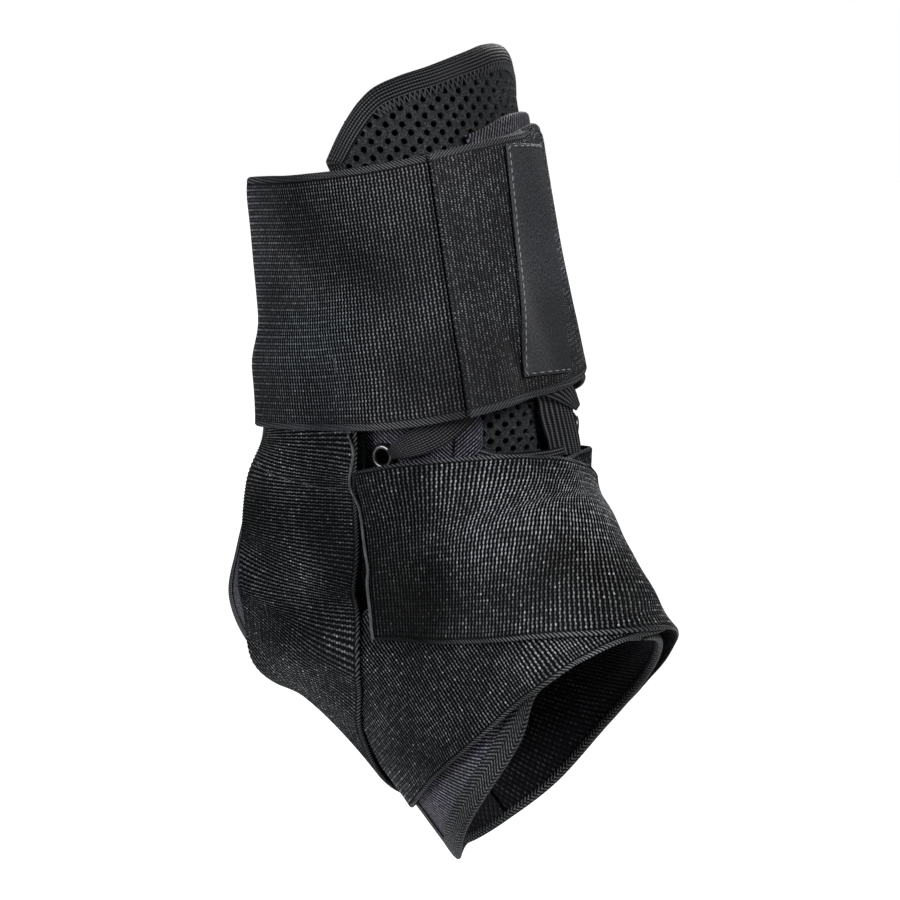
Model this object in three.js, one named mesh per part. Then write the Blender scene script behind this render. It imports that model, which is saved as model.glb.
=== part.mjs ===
import * as THREE from 'three';

// A lace-up ankle brace with a padded tongue, two figure-of-eight straps and a closing cuff, in the form
// it has when it is worn. Millimetres, +Z up, +X towards the toes, -Y towards the outer side of the foot.
// The origin is the centre of the ankle.

// Driving dimensions: the form that the brace closes round
const LEG_RISE = 167.6;
const FOOT_DROP = 102.8;
const TOE_REACH = 85.1;
const HEEL_REACH = 74.9;
const HALF_WIDTH = 37;

// Driving dimensions: the pieces
const TONGUE_THICKNESS = 4;
const TONGUE_BINDING_WIDTH = 6;
const BOOT_THICKNESS = 2.6;
const TRIM_THICKNESS = 1;
const GAP_BINDING_WIDTH = 7;
const RIM_BINDING_WIDTH = 6;
const LOOP_THICKNESS = 1;
const LOOP_MARGIN = 6;
const STRAP_WIDTH = 57;
const STRAP_THICKNESS = 1.3;
const CUFF_HEIGHT = 84;
const CUFF_THICKNESS = 1.6;
const TAB_OVERLAP = 4;
const PATCH_WIDTH = 22;
const PATCH_THICKNESS = 0.6;
const LACE_WIDTH = 8;
const LACE_THICKNESS = 1;
const EYELET_DIAMETER = 9;
const EYELET_HOLE = 5;
const EYELET_HEIGHT = 1.2;

// Room between one layer and the next, and between two panels that meet edge to edge
const CLEARANCE = 0.85;
const SKIN_GAP = 0.3;
const SEAM = 0.6;

// How a layer climbs over the edge of the one below it
const EDGE_HOLD = 4;
const EDGE_FALL = 10;
const FALL_PER_THICKNESS = 5.5;

// Spacing of the faces on the panels and along the straps
const PANEL_CELL = 10;
const STRAP_CELL = 7;
const CUFF_CELL = 6;
const LACE_CELL = 5;
const CELLS = {
  tongueAcross: 16, tongueAlong: 11, tongueBinding: 32, outerPanel: 11, innerPanel: 14, heelPanel: 6,
  gapBinding: 18, rimBinding: 64, strap: 7, lace: 2, cuff: 9, patch: 4, eyelet: 16,
};

// Height above the form at which true lengths are measured, and the stride of a walk over it
const SURFACE_OFFSET = 4;
const STRIDE = 6;

const COLOURS = {
  mesh: 0x191b1d, knit: 0x1e2022, boot: 0x17191b, heel: 0x121315, elastic: 0x222628,
  webbing: 0x1e2223, loop: 0x151b1a, satin: 0x26292c, eyelet: 0x0b0b0c,
};

const table = (columns, rows) => rows.map(
  (row) => Object.fromEntries(row.map((value, i) => [columns[i], value])),
);

// Sections of the leg and foot, from above the cuff down to the foot opening. Each spans from a front point
// to a back point. Lengths are shares: x of TOE_REACH forwards and of HEEL_REACH backwards, z of LEG_RISE
// upwards and of FOOT_DROP downwards, width of HALF_WIDTH. Power is the squareness of the oval.
const FORM = table(['frontX', 'frontZ', 'backX', 'backZ', 'width', 'power'], [
  [0.194, 1.000, -0.834, 0.885, 0.89, 2.2],
  [0.252, 0.839, -0.817, 0.718, 0.95, 2.2],
  [0.346, 0.580, -0.746, 0.465, 0.97, 2.2],
  [0.447, 0.325, -0.690, 0.209, 1.00, 2.2],
  [0.478, 0.163, -0.832, 0.091, 1.00, 2.1],
  [0.540, 0.075, -0.948, -0.069, 1.00, 2.0],
  [0.649, 0.012, -1.000, -0.230, 0.97, 2.0],
  [0.749, -0.084, -0.858, -0.385, 0.95, 2.0],
  [0.832, -0.171, -0.549, -0.475, 0.95, 2.0],
  [0.893, -0.243, -0.175, -0.668, 0.95, 2.1],
  [1.000, -0.322, 0.253, -1.000, 0.92, 2.2],
]);

// Places on the form are written as around, in degrees from the shin (positive on the outer side, 180 at
// the back and sole), and along, counted in sections of FORM.
const ALONG_TONGUE_END = 6.4;

// Free top edge of the tongue, from its inner side (0) to its outer side (1)
const TONGUE_TOP = table(['across', 'along'], [
  [0, 1.18], [0.04, 0.80], [0.10, 0.50], [0.19, 0.29], [0.28, 0.19], [0.40, 0.21], [0.50, 0.31],
  [0.65, 0.45], [0.75, 0.51], [0.835, 0.59], [0.887, 0.72], [0.93, 0.88], [0.966, 1.03], [1, 1.18],
]);
const TONGUE_SIDES = table(['along', 'inner', 'outer'], [
  [1.2, -60, 86], [2.0, -48, 78], [3.2, -32, 60], [4.0, -26, 54], [5.2, -20, 36], [6.4, -16, 22],
]);

// Front edges of the two boot panels: the lacing gap above, a closed seam over the instep
const LACING = table(['along', 'inner', 'outer'], [
  [1.0, 27, 58], [2.2, 12, 46], [3.3, -4, 34], [4.0, -5, 33], [5.0, -5, 22], [6.0, -4, 11],
  [7.0, -2, 3], [7.6, 0, 0], [10, 0, 0],
]);

// Edges of the boot all round: its top under the cuff, and the rim of the foot opening
const BOOT_EDGES = table(['around', 'top', 'rim'], [
  [-180, 1.35, 9.85], [-150, 1.35, 9.81], [-120, 1.35, 9.78], [-90, 1.32, 9.68], [-60, 1.20, 9.60],
  [-30, 1.02, 9.52], [-4, 1.05, 9.55], [13, 1.16, 9.42], [25, 1.22, 9.36], [60, 1.33, 9.55],
  [75, 1.35, 9.86], [90, 1.35, 9.98], [120, 1.35, 10.02], [150, 1.35, 10.02], [180, 1.35, 9.85],
]);
const HEEL_PANEL_SIDE = 150;

// Centre line of the strap that starts on the outer side. It crosses the instep, runs down the inner side,
// under the sole and up the outer side to its end under the cuff. Width is a share of STRAP_WIDTH. The
// other strap is its mirror image.
const STRAP_PATH = table(['around', 'along', 'width'], [
  [75, 5.45, 1.02], [60, 5.62, 1.05], [42, 5.87, 1.09], [19, 6.22, 1.14], [0, 6.50, 1.22],
  [-20, 6.76, 1.16], [-37, 7.15, 1.08], [-53, 7.65, 1.02], [-82, 8.38, 1.00], [-112, 8.75, 1.00],
  [-134, 8.84, 1.00], [-157, 8.80, 1.00], [-180, 8.68, 1.00], [-204, 8.38, 1.00], [-229, 7.78, 1.00],
  [-242, 7.13, 1.00], [-248, 6.40, 1.00], [-251, 5.20, 1.00], [-250, 4.10, 1.00], [-247, 3.10, 1.00],
  [-245, 2.50, 1.00],
]);
const LOOP_PATH = table(['around', 'along', 'width'], [
  [112, 2.6, 1.0], [108, 4.0, 1.0], [106, 5.2, 1.0], [108, 6.4, 1.0], [114, 7.1, 1.0],
]);

// Middle line of the closing tab, and of the elastic cuff that runs from under it back round the leg until
// it passes under the tab's free end
const TAB_PATH = table(['around', 'along', 'width'], [
  [41, 2.245, 1], [20, 2.20, 1], [0, 2.145, 1], [-18, 2.05, 1],
]);
const CUFF_PATH = table(['around', 'along', 'width'], [
  [36, 2.24, 1], [60, 2.25, 1], [84, 2.21, 1], [131, 2.06, 1], [180, 1.98, 1], [225, 2.05, 1],
  [270, 2.16, 1], [315, 2.12, 1], [342, 2.06, 1], [366, 2.16, 1],
]);
const PATCH_PATH = table(['around', 'along', 'width'], [
  [-2.2, 1.34, 0.98], [1, 1.85, 1], [4.7, 2.45, 1.02], [8.2, 3.0, 1.04],
]);
const LACE_PATH = table(['around', 'along', 'width'], [
  [69.5, 3.65, 1], [63, 3.50, 1], [56, 3.30, 1], [48, 3.00, 1],
]);
const EYELETS = [
  { name: 'eyelet_outer', around: 70, along: 3.65 },
  { name: 'eyelet_inner', around: -36, along: 3.50 },
];

// Curves through the rows of a table

// The value of one column at x, on a smooth curve through the rows, held level past both ends
function curve(rows, key, column, x) {
  const last = rows.length - 1;
  if (x <= rows[0][key]) return rows[0][column];
  if (x >= rows[last][key]) return rows[last][column];
  let i = 0;
  while (x > rows[i + 1][key]) i += 1;
  const slope = (k) => {
    const before = rows[Math.max(0, k - 1)];
    const after = rows[Math.min(last, k + 1)];
    return (after[column] - before[column]) / (after[key] - before[key]);
  };
  const width = rows[i + 1][key] - rows[i][key];
  const t = (x - rows[i][key]) / width;
  const start = rows[i][column];
  const rise = rows[i + 1][column] - start;
  const bendIn = slope(i) * width - rise;
  const bendOut = rise - slope(i + 1) * width;
  return start + rise * t + t * (1 - t) * (bendIn * (1 - t) + bendOut * t);
}

// A Catmull-Rom value through a list of rows, straight on past both ends
function spline(rows, column, x) {
  const last = rows.length - 1;
  const i = Math.min(last - 1, Math.max(0, Math.floor(x)));
  const t = x - i;
  const p1 = rows[i][column];
  const p2 = rows[i + 1][column];
  const p0 = i > 0 ? rows[i - 1][column] : 2 * p1 - p2;
  const p3 = i < last - 1 ? rows[i + 2][column] : 2 * p2 - p1;
  const square = 2 * p0 - 5 * p1 + 4 * p2 - p3;
  const cube = 3 * p1 - p0 - 3 * p2 + p3;
  return p1 + 0.5 * ((p2 - p0) * t + square * t * t + cube * t * t * t);
}

// The form of the leg and foot

const SECTIONS = FORM.map((row) => ({
  frontX: row.frontX * TOE_REACH,
  frontZ: row.frontZ * (row.frontZ > 0 ? LEG_RISE : FOOT_DROP),
  backX: row.backX * (row.backX > 0 ? TOE_REACH : HEEL_REACH),
  backZ: row.backZ * (row.backZ > 0 ? LEG_RISE : FOOT_DROP),
  width: row.width * HALF_WIDTH,
  power: row.power,
}));

const signedPower = (value, power) => Math.sign(value) * Math.abs(value) ** power;

function formPoint(around, along) {
  const angle = THREE.MathUtils.degToRad(around);
  const at = (column) => spline(SECTIONS, column, along);
  const round = 2 / at('power');
  const c = signedPower(Math.cos(angle), round);
  const s = signedPower(Math.sin(angle), round);
  const middleX = (at('frontX') + at('backX')) / 2;
  const middleZ = (at('frontZ') + at('backZ')) / 2;
  return new THREE.Vector3(
    middleX + (at('frontX') - middleX) * c,
    -at('width') * s,
    middleZ + (at('frontZ') - middleZ) * c,
  );
}

const STEP_AROUND = 0.4;
const STEP_ALONG = 0.01;

// The form's point at a place, its outward normal and how the point moves with around and along
function surfaceAt({ around, along }, offset = 0) {
  const point = formPoint(around, along);
  const byAround = formPoint(around + STEP_AROUND, along)
    .sub(formPoint(around - STEP_AROUND, along)).divideScalar(2 * STEP_AROUND);
  const byAlong = formPoint(around, along + STEP_ALONG)
    .sub(formPoint(around, along - STEP_ALONG)).divideScalar(2 * STEP_ALONG);
  const normal = byAround.clone().cross(byAlong).normalize();
  return { point: point.addScaledVector(normal, offset), normal, byAround, byAlong };
}

const raised = (place, offset) => surfaceAt(place, offset).point;

// Walk over the form from a place in a direction, by a true distance
function walk(place, direction, distance) {
  const steps = Math.max(1, Math.ceil(Math.abs(distance) / STRIDE));
  const heading = direction.clone();
  let { around, along } = place;
  for (let i = 0; i < steps; i += 1) {
    const { normal, byAround, byAlong } = surfaceAt({ around, along });
    heading.addScaledVector(normal, -heading.dot(normal)).normalize();
    const aa = byAround.dot(byAround);
    const ab = byAround.dot(byAlong);
    const bb = byAlong.dot(byAlong);
    const a = byAround.dot(heading) * (distance / steps);
    const b = byAlong.dot(heading) * (distance / steps);
    const scale = 1 / (aa * bb - ab * ab);
    around += (bb * a - ab * b) * scale;
    along += (aa * b - ab * a) * scale;
  }
  return { around, along };
}

// Grids of places

// A path through the rows of a table, cut into equal steps by true length
function stations(rows, cell) {
  const SUBSTEPS = 12;
  const fine = [];
  for (let i = 0; i <= (rows.length - 1) * SUBSTEPS; i += 1) {
    const x = i / SUBSTEPS;
    fine.push({
      around: spline(rows, 'around', x),
      along: spline(rows, 'along', x),
      width: spline(rows, 'width', x),
    });
  }
  const points = fine.map((place) => raised(place, SURFACE_OFFSET));
  const lengths = [0];
  for (let i = 1; i < points.length; i += 1) {
    lengths.push(lengths[i - 1] + points[i].distanceTo(points[i - 1]));
  }
  const total = lengths[lengths.length - 1];
  const count = Math.max(2, Math.round(total / cell));
  const result = [];
  let k = 0;
  for (let i = 0; i <= count; i += 1) {
    const target = (total * i) / count;
    while (k < fine.length - 2 && lengths[k + 1] < target) k += 1;
    const t = (target - lengths[k]) / (lengths[k + 1] - lengths[k]);
    const mix = (column) => THREE.MathUtils.lerp(fine[k][column], fine[k + 1][column], t);
    result.push({ around: mix('around'), along: mix('along'), width: mix('width') });
  }
  return result;
}

// Ways across a band: square to its path, down the leg, or round the leg
const squareAcross = ({ normal }, forward) => normal.clone().cross(forward);
const downTheLeg = ({ byAlong }) => byAlong;
const roundTheLeg = ({ byAround }) => byAround;

// A band of true width along a path: one row of places per station
function band(rows, width, cell, cellsAcross, across = squareAcross) {
  const path = stations(rows, cell);
  return path.map((place, i) => {
    const before = raised(path[Math.max(0, i - 1)], SURFACE_OFFSET);
    const after = raised(path[Math.min(path.length - 1, i + 1)], SURFACE_OFFSET);
    const sideways = across(surfaceAt(place), after.sub(before));
    const row = [];
    for (let j = 0; j <= cellsAcross; j += 1) {
      row.push(walk(place, sideways, (j / cellsAcross - 0.5) * width * place.width));
    }
    return row;
  });
}

// A panel between two side edges, its rows running from a top edge to a bottom edge
function panel(cellsAcross, cellsAlong, place) {
  const grid = [];
  for (let i = 0; i <= cellsAlong; i += 1) {
    const row = [];
    for (let j = 0; j <= cellsAcross; j += 1) row.push(place(j / cellsAcross, i / cellsAlong));
    grid.push(row);
  }
  return grid;
}

const border = (grid) => [
  ...grid[0],
  ...grid.slice(1, -1).map((row) => row[row.length - 1]),
  ...grid[grid.length - 1].slice().reverse(),
  ...grid.slice(1, -1).reverse().map((row) => row[0]),
];

// Layers: each piece lies on all that was laid before it

const laid = [];
const SAMPLE_SPACING = 3;

function footprint(grid, thickness) {
  const outline = border(grid);
  const samples = [];
  outline.forEach((place, i) => {
    const next = outline[(i + 1) % outline.length];
    const start = raised(place, SURFACE_OFFSET);
    const end = raised(next, SURFACE_OFFSET);
    const count = Math.max(1, Math.ceil(start.distanceTo(end) / SAMPLE_SPACING));
    for (let k = 0; k < count; k += 1) samples.push(start.clone().lerp(end, k / count));
  });
  return { outline, samples, thickness };
}

// Whether a place lies inside an outline, tried one turn either way
function inside(place, outline) {
  return [-360, 0, 360].some((turn) => {
    const around = place.around + turn;
    let within = false;
    outline.forEach((a, i) => {
      const b = outline[(i + 1) % outline.length];
      if ((a.along > place.along) === (b.along > place.along)) return;
      const share = (place.along - a.along) / (b.along - a.along);
      if (around < a.around + share * (b.around - a.around)) within = !within;
    });
    return within;
  });
}

// Share of a piece's height that a place at this distance past its edge still takes
function fade(distance, thickness) {
  const t = (distance - EDGE_HOLD) / (EDGE_FALL + FALL_PER_THICKNESS * thickness);
  return 1 - THREE.MathUtils.smoothstep(t, 0, 1);
}

function heightAt(place) {
  const point = raised(place, SURFACE_OFFSET);
  const lift = (piece) => {
    const full = piece.thickness + CLEARANCE;
    if (inside(place, piece.outline)) return full;
    const nearest = Math.min(...piece.samples.map((sample) => sample.distanceToSquared(point)));
    return full * fade(Math.sqrt(nearest), piece.thickness);
  };
  return laid.reduce((height, level) => height + Math.max(...level.map(lift)), 0);
}

// A closed solid between two offsets from the form, over a grid of places
function slab(grid, inner, outer) {
  const rows = grid.length;
  const columns = grid[0].length;
  const positions = [];
  grid.forEach((row, i) => row.forEach((place, j) => {
    positions.push(...raised(place, outer[i][j]).toArray());
  }));
  grid.forEach((row, i) => row.forEach((place, j) => {
    positions.push(...raised(place, inner[i][j]).toArray());
  }));
  const below = rows * columns;
  const at = (i, j) => i * columns + j;
  const faces = [];
  const quad = (a, b, c, d) => faces.push(a, b, c, a, c, d);
  for (let i = 0; i < rows - 1; i += 1) {
    for (let j = 0; j < columns - 1; j += 1) {
      const [a, b, c, d] = [at(i, j), at(i + 1, j), at(i + 1, j + 1), at(i, j + 1)];
      quad(a, b, c, d);
      quad(below + d, below + c, below + b, below + a);
    }
  }
  const wall = (a, b) => quad(a, below + a, below + b, b);
  for (let j = 0; j < columns - 1; j += 1) {
    wall(at(0, j + 1), at(0, j));
    wall(at(rows - 1, j), at(rows - 1, j + 1));
  }
  for (let i = 0; i < rows - 1; i += 1) {
    wall(at(i, 0), at(i + 1, 0));
    wall(at(i + 1, columns - 1), at(i, columns - 1));
  }
  const corner = raised(grid[0][0], 0);
  const down = raised(grid[1][0], 0).sub(corner);
  const across = raised(grid[0][1], 0).sub(corner);
  if (down.cross(across).dot(surfaceAt(grid[0][0]).normal) < 0) faces.reverse();
  const geometry = new THREE.BufferGeometry();
  geometry.setAttribute('position', new THREE.Float32BufferAttribute(positions, 3));
  geometry.setIndex(faces);
  geometry.computeVertexNormals();
  return geometry;
}

const brace = new THREE.Group();

function addMesh(name, geometry, colour, roughness) {
  const material = new THREE.MeshStandardMaterial({ color: colour, roughness, metalness: 0 });
  const mesh = new THREE.Mesh(geometry, material);
  mesh.name = name;
  brace.add(mesh);
  return mesh;
}

// Lay pieces that share a level: each rests on the levels before it, and none lifts the others
function lay(pieces) {
  pieces.forEach(({ name, grid, thickness, colour, roughness = 0.9 }) => {
    const inner = grid.map((row) => row.map((place) => SKIN_GAP + heightAt(place)));
    const outer = inner.map((row) => row.map((height) => height + thickness));
    addMesh(name, slab(grid, inner, outer), colour, roughness);
  });
  laid.push(pieces.map(({ grid, thickness }) => footprint(grid, thickness)));
}

// The tongue: a padded mesh leaf, and the knit binding round its free top edge

function tonguePlace(across, along) {
  const around = THREE.MathUtils.lerp(
    curve(TONGUE_SIDES, 'along', 'inner', along),
    curve(TONGUE_SIDES, 'along', 'outer', along),
    across,
  );
  return { around, along };
}

const tongueTop = (across) => tonguePlace(across, curve(TONGUE_TOP, 'across', 'along', across));

// The place at a true distance inside the tongue's top edge
function belowTongueTop(across, distance) {
  const edge = tongueTop(across);
  const step = 0.02;
  const ahead = raised(tongueTop(Math.min(1, across + step)), 0);
  const behind = raised(tongueTop(Math.max(0, across - step)), 0);
  const inwards = surfaceAt(edge).normal.clone().cross(ahead.sub(behind));
  return walk(edge, inwards, distance);
}

function tongueGrid() {
  return panel(CELLS.tongueAcross, CELLS.tongueAlong, (across, down) => {
    const edge = belowTongueTop(across, TONGUE_BINDING_WIDTH + SEAM);
    const along = THREE.MathUtils.lerp(edge.along, ALONG_TONGUE_END, down);
    const fromEdge = tonguePlace(across, along).around - tonguePlace(across, edge.along).around;
    return { around: edge.around + fromEdge, along };
  });
}

function tongueBindingGrid() {
  return panel(
    CELLS.tongueBinding,
    1,
    (across, down) => belowTongueTop(across, TONGUE_BINDING_WIDTH * down),
  );
}

// The boot: an outer panel, an inner panel and a heel panel, edge to edge, open along the lacing gap

const degreesPerMillimetre = (place) => 1 / surfaceAt(place).byAround.length();

// The place at a share of the way from the boot's top edge to its rim
function downTheBoot(around, down) {
  const turned = around > 180 ? around - 360 : around;
  const top = curve(BOOT_EDGES, 'around', 'top', turned);
  const rim = curve(BOOT_EDGES, 'around', 'rim', turned);
  return { around, along: THREE.MathUtils.lerp(top, rim, down) };
}

// The boot's rows all run from near the top edge to near the rim
const BOOT_TOP = 1.3;
const BOOT_RIM = 9.8;
const BOOT_ROWS = Math.round((LEG_RISE + FOOT_DROP) / (PANEL_CELL * 1.2));

function bootPanel(cellsAcross, frontColumn, side) {
  return panel(cellsAcross, BOOT_ROWS, (across, down) => {
    const along = THREE.MathUtils.lerp(BOOT_TOP, BOOT_RIM, down);
    const seam = Math.sign(side) * (SEAM / 2) * degreesPerMillimetre({ around: side, along });
    const front = curve(LACING, 'along', frontColumn, along) + seam;
    return downTheBoot(THREE.MathUtils.lerp(front, side - seam, across), down);
  });
}

function heelPanel() {
  return panel(CELLS.heelPanel, BOOT_ROWS, (across, down) => {
    const along = THREE.MathUtils.lerp(BOOT_TOP, BOOT_RIM, down);
    const seam = (SEAM / 2) * degreesPerMillimetre({ around: HEEL_PANEL_SIDE, along });
    const side = HEEL_PANEL_SIDE + seam;
    return downTheBoot(THREE.MathUtils.lerp(side, 360 - side, across), down);
  });
}

// Trims on the boot: bindings along the lacing gap and the foot opening

const GAP_BINDING_TOP = 1.45;
const GAP_BINDING_END = 5.2;
const RIM_BINDING_ENDS = 1.5;

function gapBinding(column, side) {
  return panel(1, CELLS.gapBinding, (across, down) => {
    const along = THREE.MathUtils.lerp(GAP_BINDING_TOP, GAP_BINDING_END, down);
    const start = { around: curve(LACING, 'along', column, along), along };
    const inwards = surfaceAt(start).byAround.clone().multiplyScalar(side);
    return walk(start, inwards, SEAM + GAP_BINDING_WIDTH * across);
  });
}

function rimBinding() {
  return panel(CELLS.rimBinding, 1, (across, down) => {
    const around = THREE.MathUtils.lerp(RIM_BINDING_ENDS, 360 - RIM_BINDING_ENDS, across);
    const start = downTheBoot(around, 1);
    const inwards = surfaceAt(start).byAlong.clone().negate();
    return walk(start, inwards, SEAM + RIM_BINDING_WIDTH * down);
  });
}

const mirrored = (rows) => rows.map((row) => ({ ...row, around: -row.around }));

// The start of a strap keeps clear of its own rising end, and shows the edge of the loop panel between
function strapPath() {
  const rising = { ...STRAP_PATH[STRAP_PATH.length - 3] };
  const front = surfaceAt(rising).byAround.clone().negate();
  const edge = walk(rising, front, STRAP_WIDTH / 2 + LOOP_MARGIN);
  const around = edge.around + 360;
  return STRAP_PATH.map((row, i) => (i === 0 ? { ...row, around } : row));
}

// The cuff's elastic starts under the tab, by the overlap that they are sewn together on
function cuffPath() {
  const start = TAB_PATH[0];
  const forwards = surfaceAt(start).byAround.clone().negate();
  const { around } = walk(start, forwards, TAB_OVERLAP);
  return CUFF_PATH.map((row, i) => (i === 0 ? { ...row, around } : row));
}

function addEyelet({ name, around, along }) {
  const place = { around, along };
  const outer = EYELET_DIAMETER / 2;
  const hole = EYELET_HOLE / 2;
  const edge = EYELET_HEIGHT / 4;
  const profile = [
    [hole, 0], [outer, 0], [outer, EYELET_HEIGHT - edge], [outer - edge, EYELET_HEIGHT],
    [hole + edge, EYELET_HEIGHT], [hole, EYELET_HEIGHT - edge], [hole, 0],
  ].map(([radius, height]) => new THREE.Vector2(radius, height));
  const mesh = addMesh(name, new THREE.LatheGeometry(profile, CELLS.eyelet), COLOURS.eyelet, 0.35);
  const { byAround, byAlong } = surfaceAt(place);
  const seat = (direction, distance) => {
    const spot = walk(place, direction, distance);
    return raised(spot, SKIN_GAP + heightAt(spot));
  };
  const slopeAround = seat(byAround, outer).sub(seat(byAround, -outer));
  const slopeAlong = seat(byAlong, outer).sub(seat(byAlong, -outer));
  mesh.quaternion.setFromUnitVectors(
    new THREE.Vector3(0, 1, 0),
    slopeAround.cross(slopeAlong).normalize(),
  );
  mesh.position.copy(seat(byAround, 0));
}

// The round area that an eyelet covers, as a grid whose border is its outline
function eyeletGrid(place) {
  const { byAround, byAlong } = surfaceAt(place);
  const reach = EYELET_DIAMETER / 2;
  return [-1, 1].map((side) => [-1, 0, 1].map((share) => walk(
    walk(place, byAround, share * reach),
    byAlong,
    side * reach * (share === 0 ? 1 : 0.4),
  )));
}

lay([
  { name: 'tongue', grid: tongueGrid(), thickness: TONGUE_THICKNESS, colour: COLOURS.mesh },
  {
    name: 'tongue_binding', grid: tongueBindingGrid(), thickness: TONGUE_THICKNESS,
    colour: COLOURS.knit,
  },
]);
lay([
  {
    name: 'boot_panel_outer', grid: bootPanel(CELLS.outerPanel, 'outer', HEEL_PANEL_SIDE),
    thickness: BOOT_THICKNESS, colour: COLOURS.boot,
  },
  {
    name: 'boot_panel_inner', grid: bootPanel(CELLS.innerPanel, 'inner', -HEEL_PANEL_SIDE),
    thickness: BOOT_THICKNESS, colour: COLOURS.boot,
  },
  {
    name: 'heel_panel', grid: heelPanel(), thickness: BOOT_THICKNESS, colour: COLOURS.heel,
  },
]);
EYELETS.forEach(addEyelet);
laid.push(EYELETS.map((place) => footprint(eyeletGrid(place), EYELET_HEIGHT)));
lay([
  {
    name: 'gap_binding_outer', grid: gapBinding('outer', 1), thickness: TRIM_THICKNESS,
    colour: COLOURS.knit,
  },
  {
    name: 'gap_binding_inner', grid: gapBinding('inner', -1), thickness: TRIM_THICKNESS,
    colour: COLOURS.knit,
  },
  {
    name: 'rim_binding', grid: rimBinding(), thickness: TRIM_THICKNESS, colour: COLOURS.knit,
  },
  {
    name: 'loop_panel_outer', grid: band(LOOP_PATH, STRAP_WIDTH, PANEL_CELL, CELLS.strap),
    thickness: LOOP_THICKNESS, colour: COLOURS.loop,
  },
  {
    name: 'loop_panel_inner', grid: band(mirrored(LOOP_PATH), STRAP_WIDTH, PANEL_CELL, CELLS.strap),
    thickness: LOOP_THICKNESS, colour: COLOURS.loop,
  },
]);
lay([{
  name: 'lace_outer', grid: band(LACE_PATH, LACE_WIDTH, LACE_CELL, CELLS.lace),
  thickness: LACE_THICKNESS, colour: COLOURS.knit,
}]);
lay([{
  name: 'strap_under', grid: band(mirrored(strapPath()), STRAP_WIDTH, STRAP_CELL, CELLS.strap),
  thickness: STRAP_THICKNESS, colour: COLOURS.webbing,
}]);
lay([{
  name: 'strap_over', grid: band(strapPath(), STRAP_WIDTH, STRAP_CELL, CELLS.strap),
  thickness: STRAP_THICKNESS, colour: COLOURS.webbing,
}]);
lay([{
  name: 'cuff_elastic', grid: band(cuffPath(), CUFF_HEIGHT, CUFF_CELL, CELLS.cuff, downTheLeg),
  thickness: CUFF_THICKNESS, colour: COLOURS.elastic,
}]);
lay([{
  name: 'cuff_tab', grid: band(TAB_PATH, CUFF_HEIGHT, CUFF_CELL, CELLS.cuff, downTheLeg),
  thickness: CUFF_THICKNESS, colour: COLOURS.elastic,
}]);
lay([{
  name: 'closure_patch', grid: band(PATCH_PATH, PATCH_WIDTH, CUFF_CELL, CELLS.patch, roundTheLeg),
  thickness: PATCH_THICKNESS, colour: COLOURS.satin, roughness: 0.6,
}]);

export default brace;
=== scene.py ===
"""The looks of a lace-up ankle brace in its worn form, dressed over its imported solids.

The form, the tables and the way that layers lie on each other repeat those of the part's source, in
millimetres, with around in degrees from the shin and along counted in sections of the form.
"""

import logging
import math
from dataclasses import dataclass
from enum import Enum
from typing import Any, Callable, Sequence

import bpy
import numpy as np
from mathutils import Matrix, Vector

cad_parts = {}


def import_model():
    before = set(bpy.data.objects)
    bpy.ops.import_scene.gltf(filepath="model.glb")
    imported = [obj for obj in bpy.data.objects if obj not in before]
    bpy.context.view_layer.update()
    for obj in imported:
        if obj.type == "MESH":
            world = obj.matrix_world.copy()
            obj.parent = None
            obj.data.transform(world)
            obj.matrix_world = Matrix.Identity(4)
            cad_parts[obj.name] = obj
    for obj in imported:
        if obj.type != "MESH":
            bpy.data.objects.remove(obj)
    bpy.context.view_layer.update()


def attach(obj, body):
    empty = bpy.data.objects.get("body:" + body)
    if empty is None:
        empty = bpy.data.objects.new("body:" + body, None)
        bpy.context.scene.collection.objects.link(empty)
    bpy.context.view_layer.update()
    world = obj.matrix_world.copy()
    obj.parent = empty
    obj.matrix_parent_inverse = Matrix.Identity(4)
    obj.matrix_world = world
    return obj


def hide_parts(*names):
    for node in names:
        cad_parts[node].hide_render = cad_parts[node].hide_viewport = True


LOG = logging.getLogger("brace")
MM = 0.001
TURN = 360.0
Rows = Sequence[Sequence[float]]
Piece = bpy.types.Object
Colour = tuple[float, float, float]

LEG_RISE, FOOT_DROP, TOE_REACH, HEEL_REACH, HALF_WIDTH = 167.6, 102.8, 85.1, 74.9, 37.0
CLEARANCE, SKIN_GAP, SEAM = 0.85, 0.3, 0.6
EDGE_HOLD, EDGE_FALL, FALL_PER_THICKNESS = 4.0, 10.0, 5.5
SURFACE_OFFSET = 4.0
STRIDE = 3.0
SWELLS, SWELL_SPREAD = 64, 0.5
DEGREES_TO_A_SECTION = 30
ROLL = (0.0, 0.12, 0.35, 0.75)
# The painted shade mark scales a mesh's colour to paint shade on it; where it is 1, no shade is
# painted.
MAP, PAINTED_SHADE, FROM_SIDE, FAR_FROM_SIDE = "cloth", "shade", "from_side", 9.0

# front x, front z, back x, back z, width, power: shares, as in the part's source
FORM: Rows = (
    (0.194, 1.000, -0.834, 0.885, 0.89, 2.2), (0.252, 0.839, -0.817, 0.718, 0.95, 2.2),
    (0.346, 0.580, -0.746, 0.465, 0.97, 2.2), (0.447, 0.325, -0.690, 0.209, 1.00, 2.2),
    (0.478, 0.163, -0.832, 0.091, 1.00, 2.1), (0.540, 0.075, -0.948, -0.069, 1.00, 2.0),
    (0.649, 0.012, -1.000, -0.230, 0.97, 2.0), (0.749, -0.084, -0.858, -0.385, 0.95, 2.0),
    (0.832, -0.171, -0.549, -0.475, 0.95, 2.0), (0.893, -0.243, -0.175, -0.668, 0.95, 2.1),
    (1.000, -0.322, 0.253, -1.000, 0.92, 2.2),
)


def unit(vectors: np.ndarray) -> np.ndarray:
    """Vectors of length one in the same directions."""
    return vectors / np.linalg.norm(vectors, axis=-1, keepdims=True)


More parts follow.
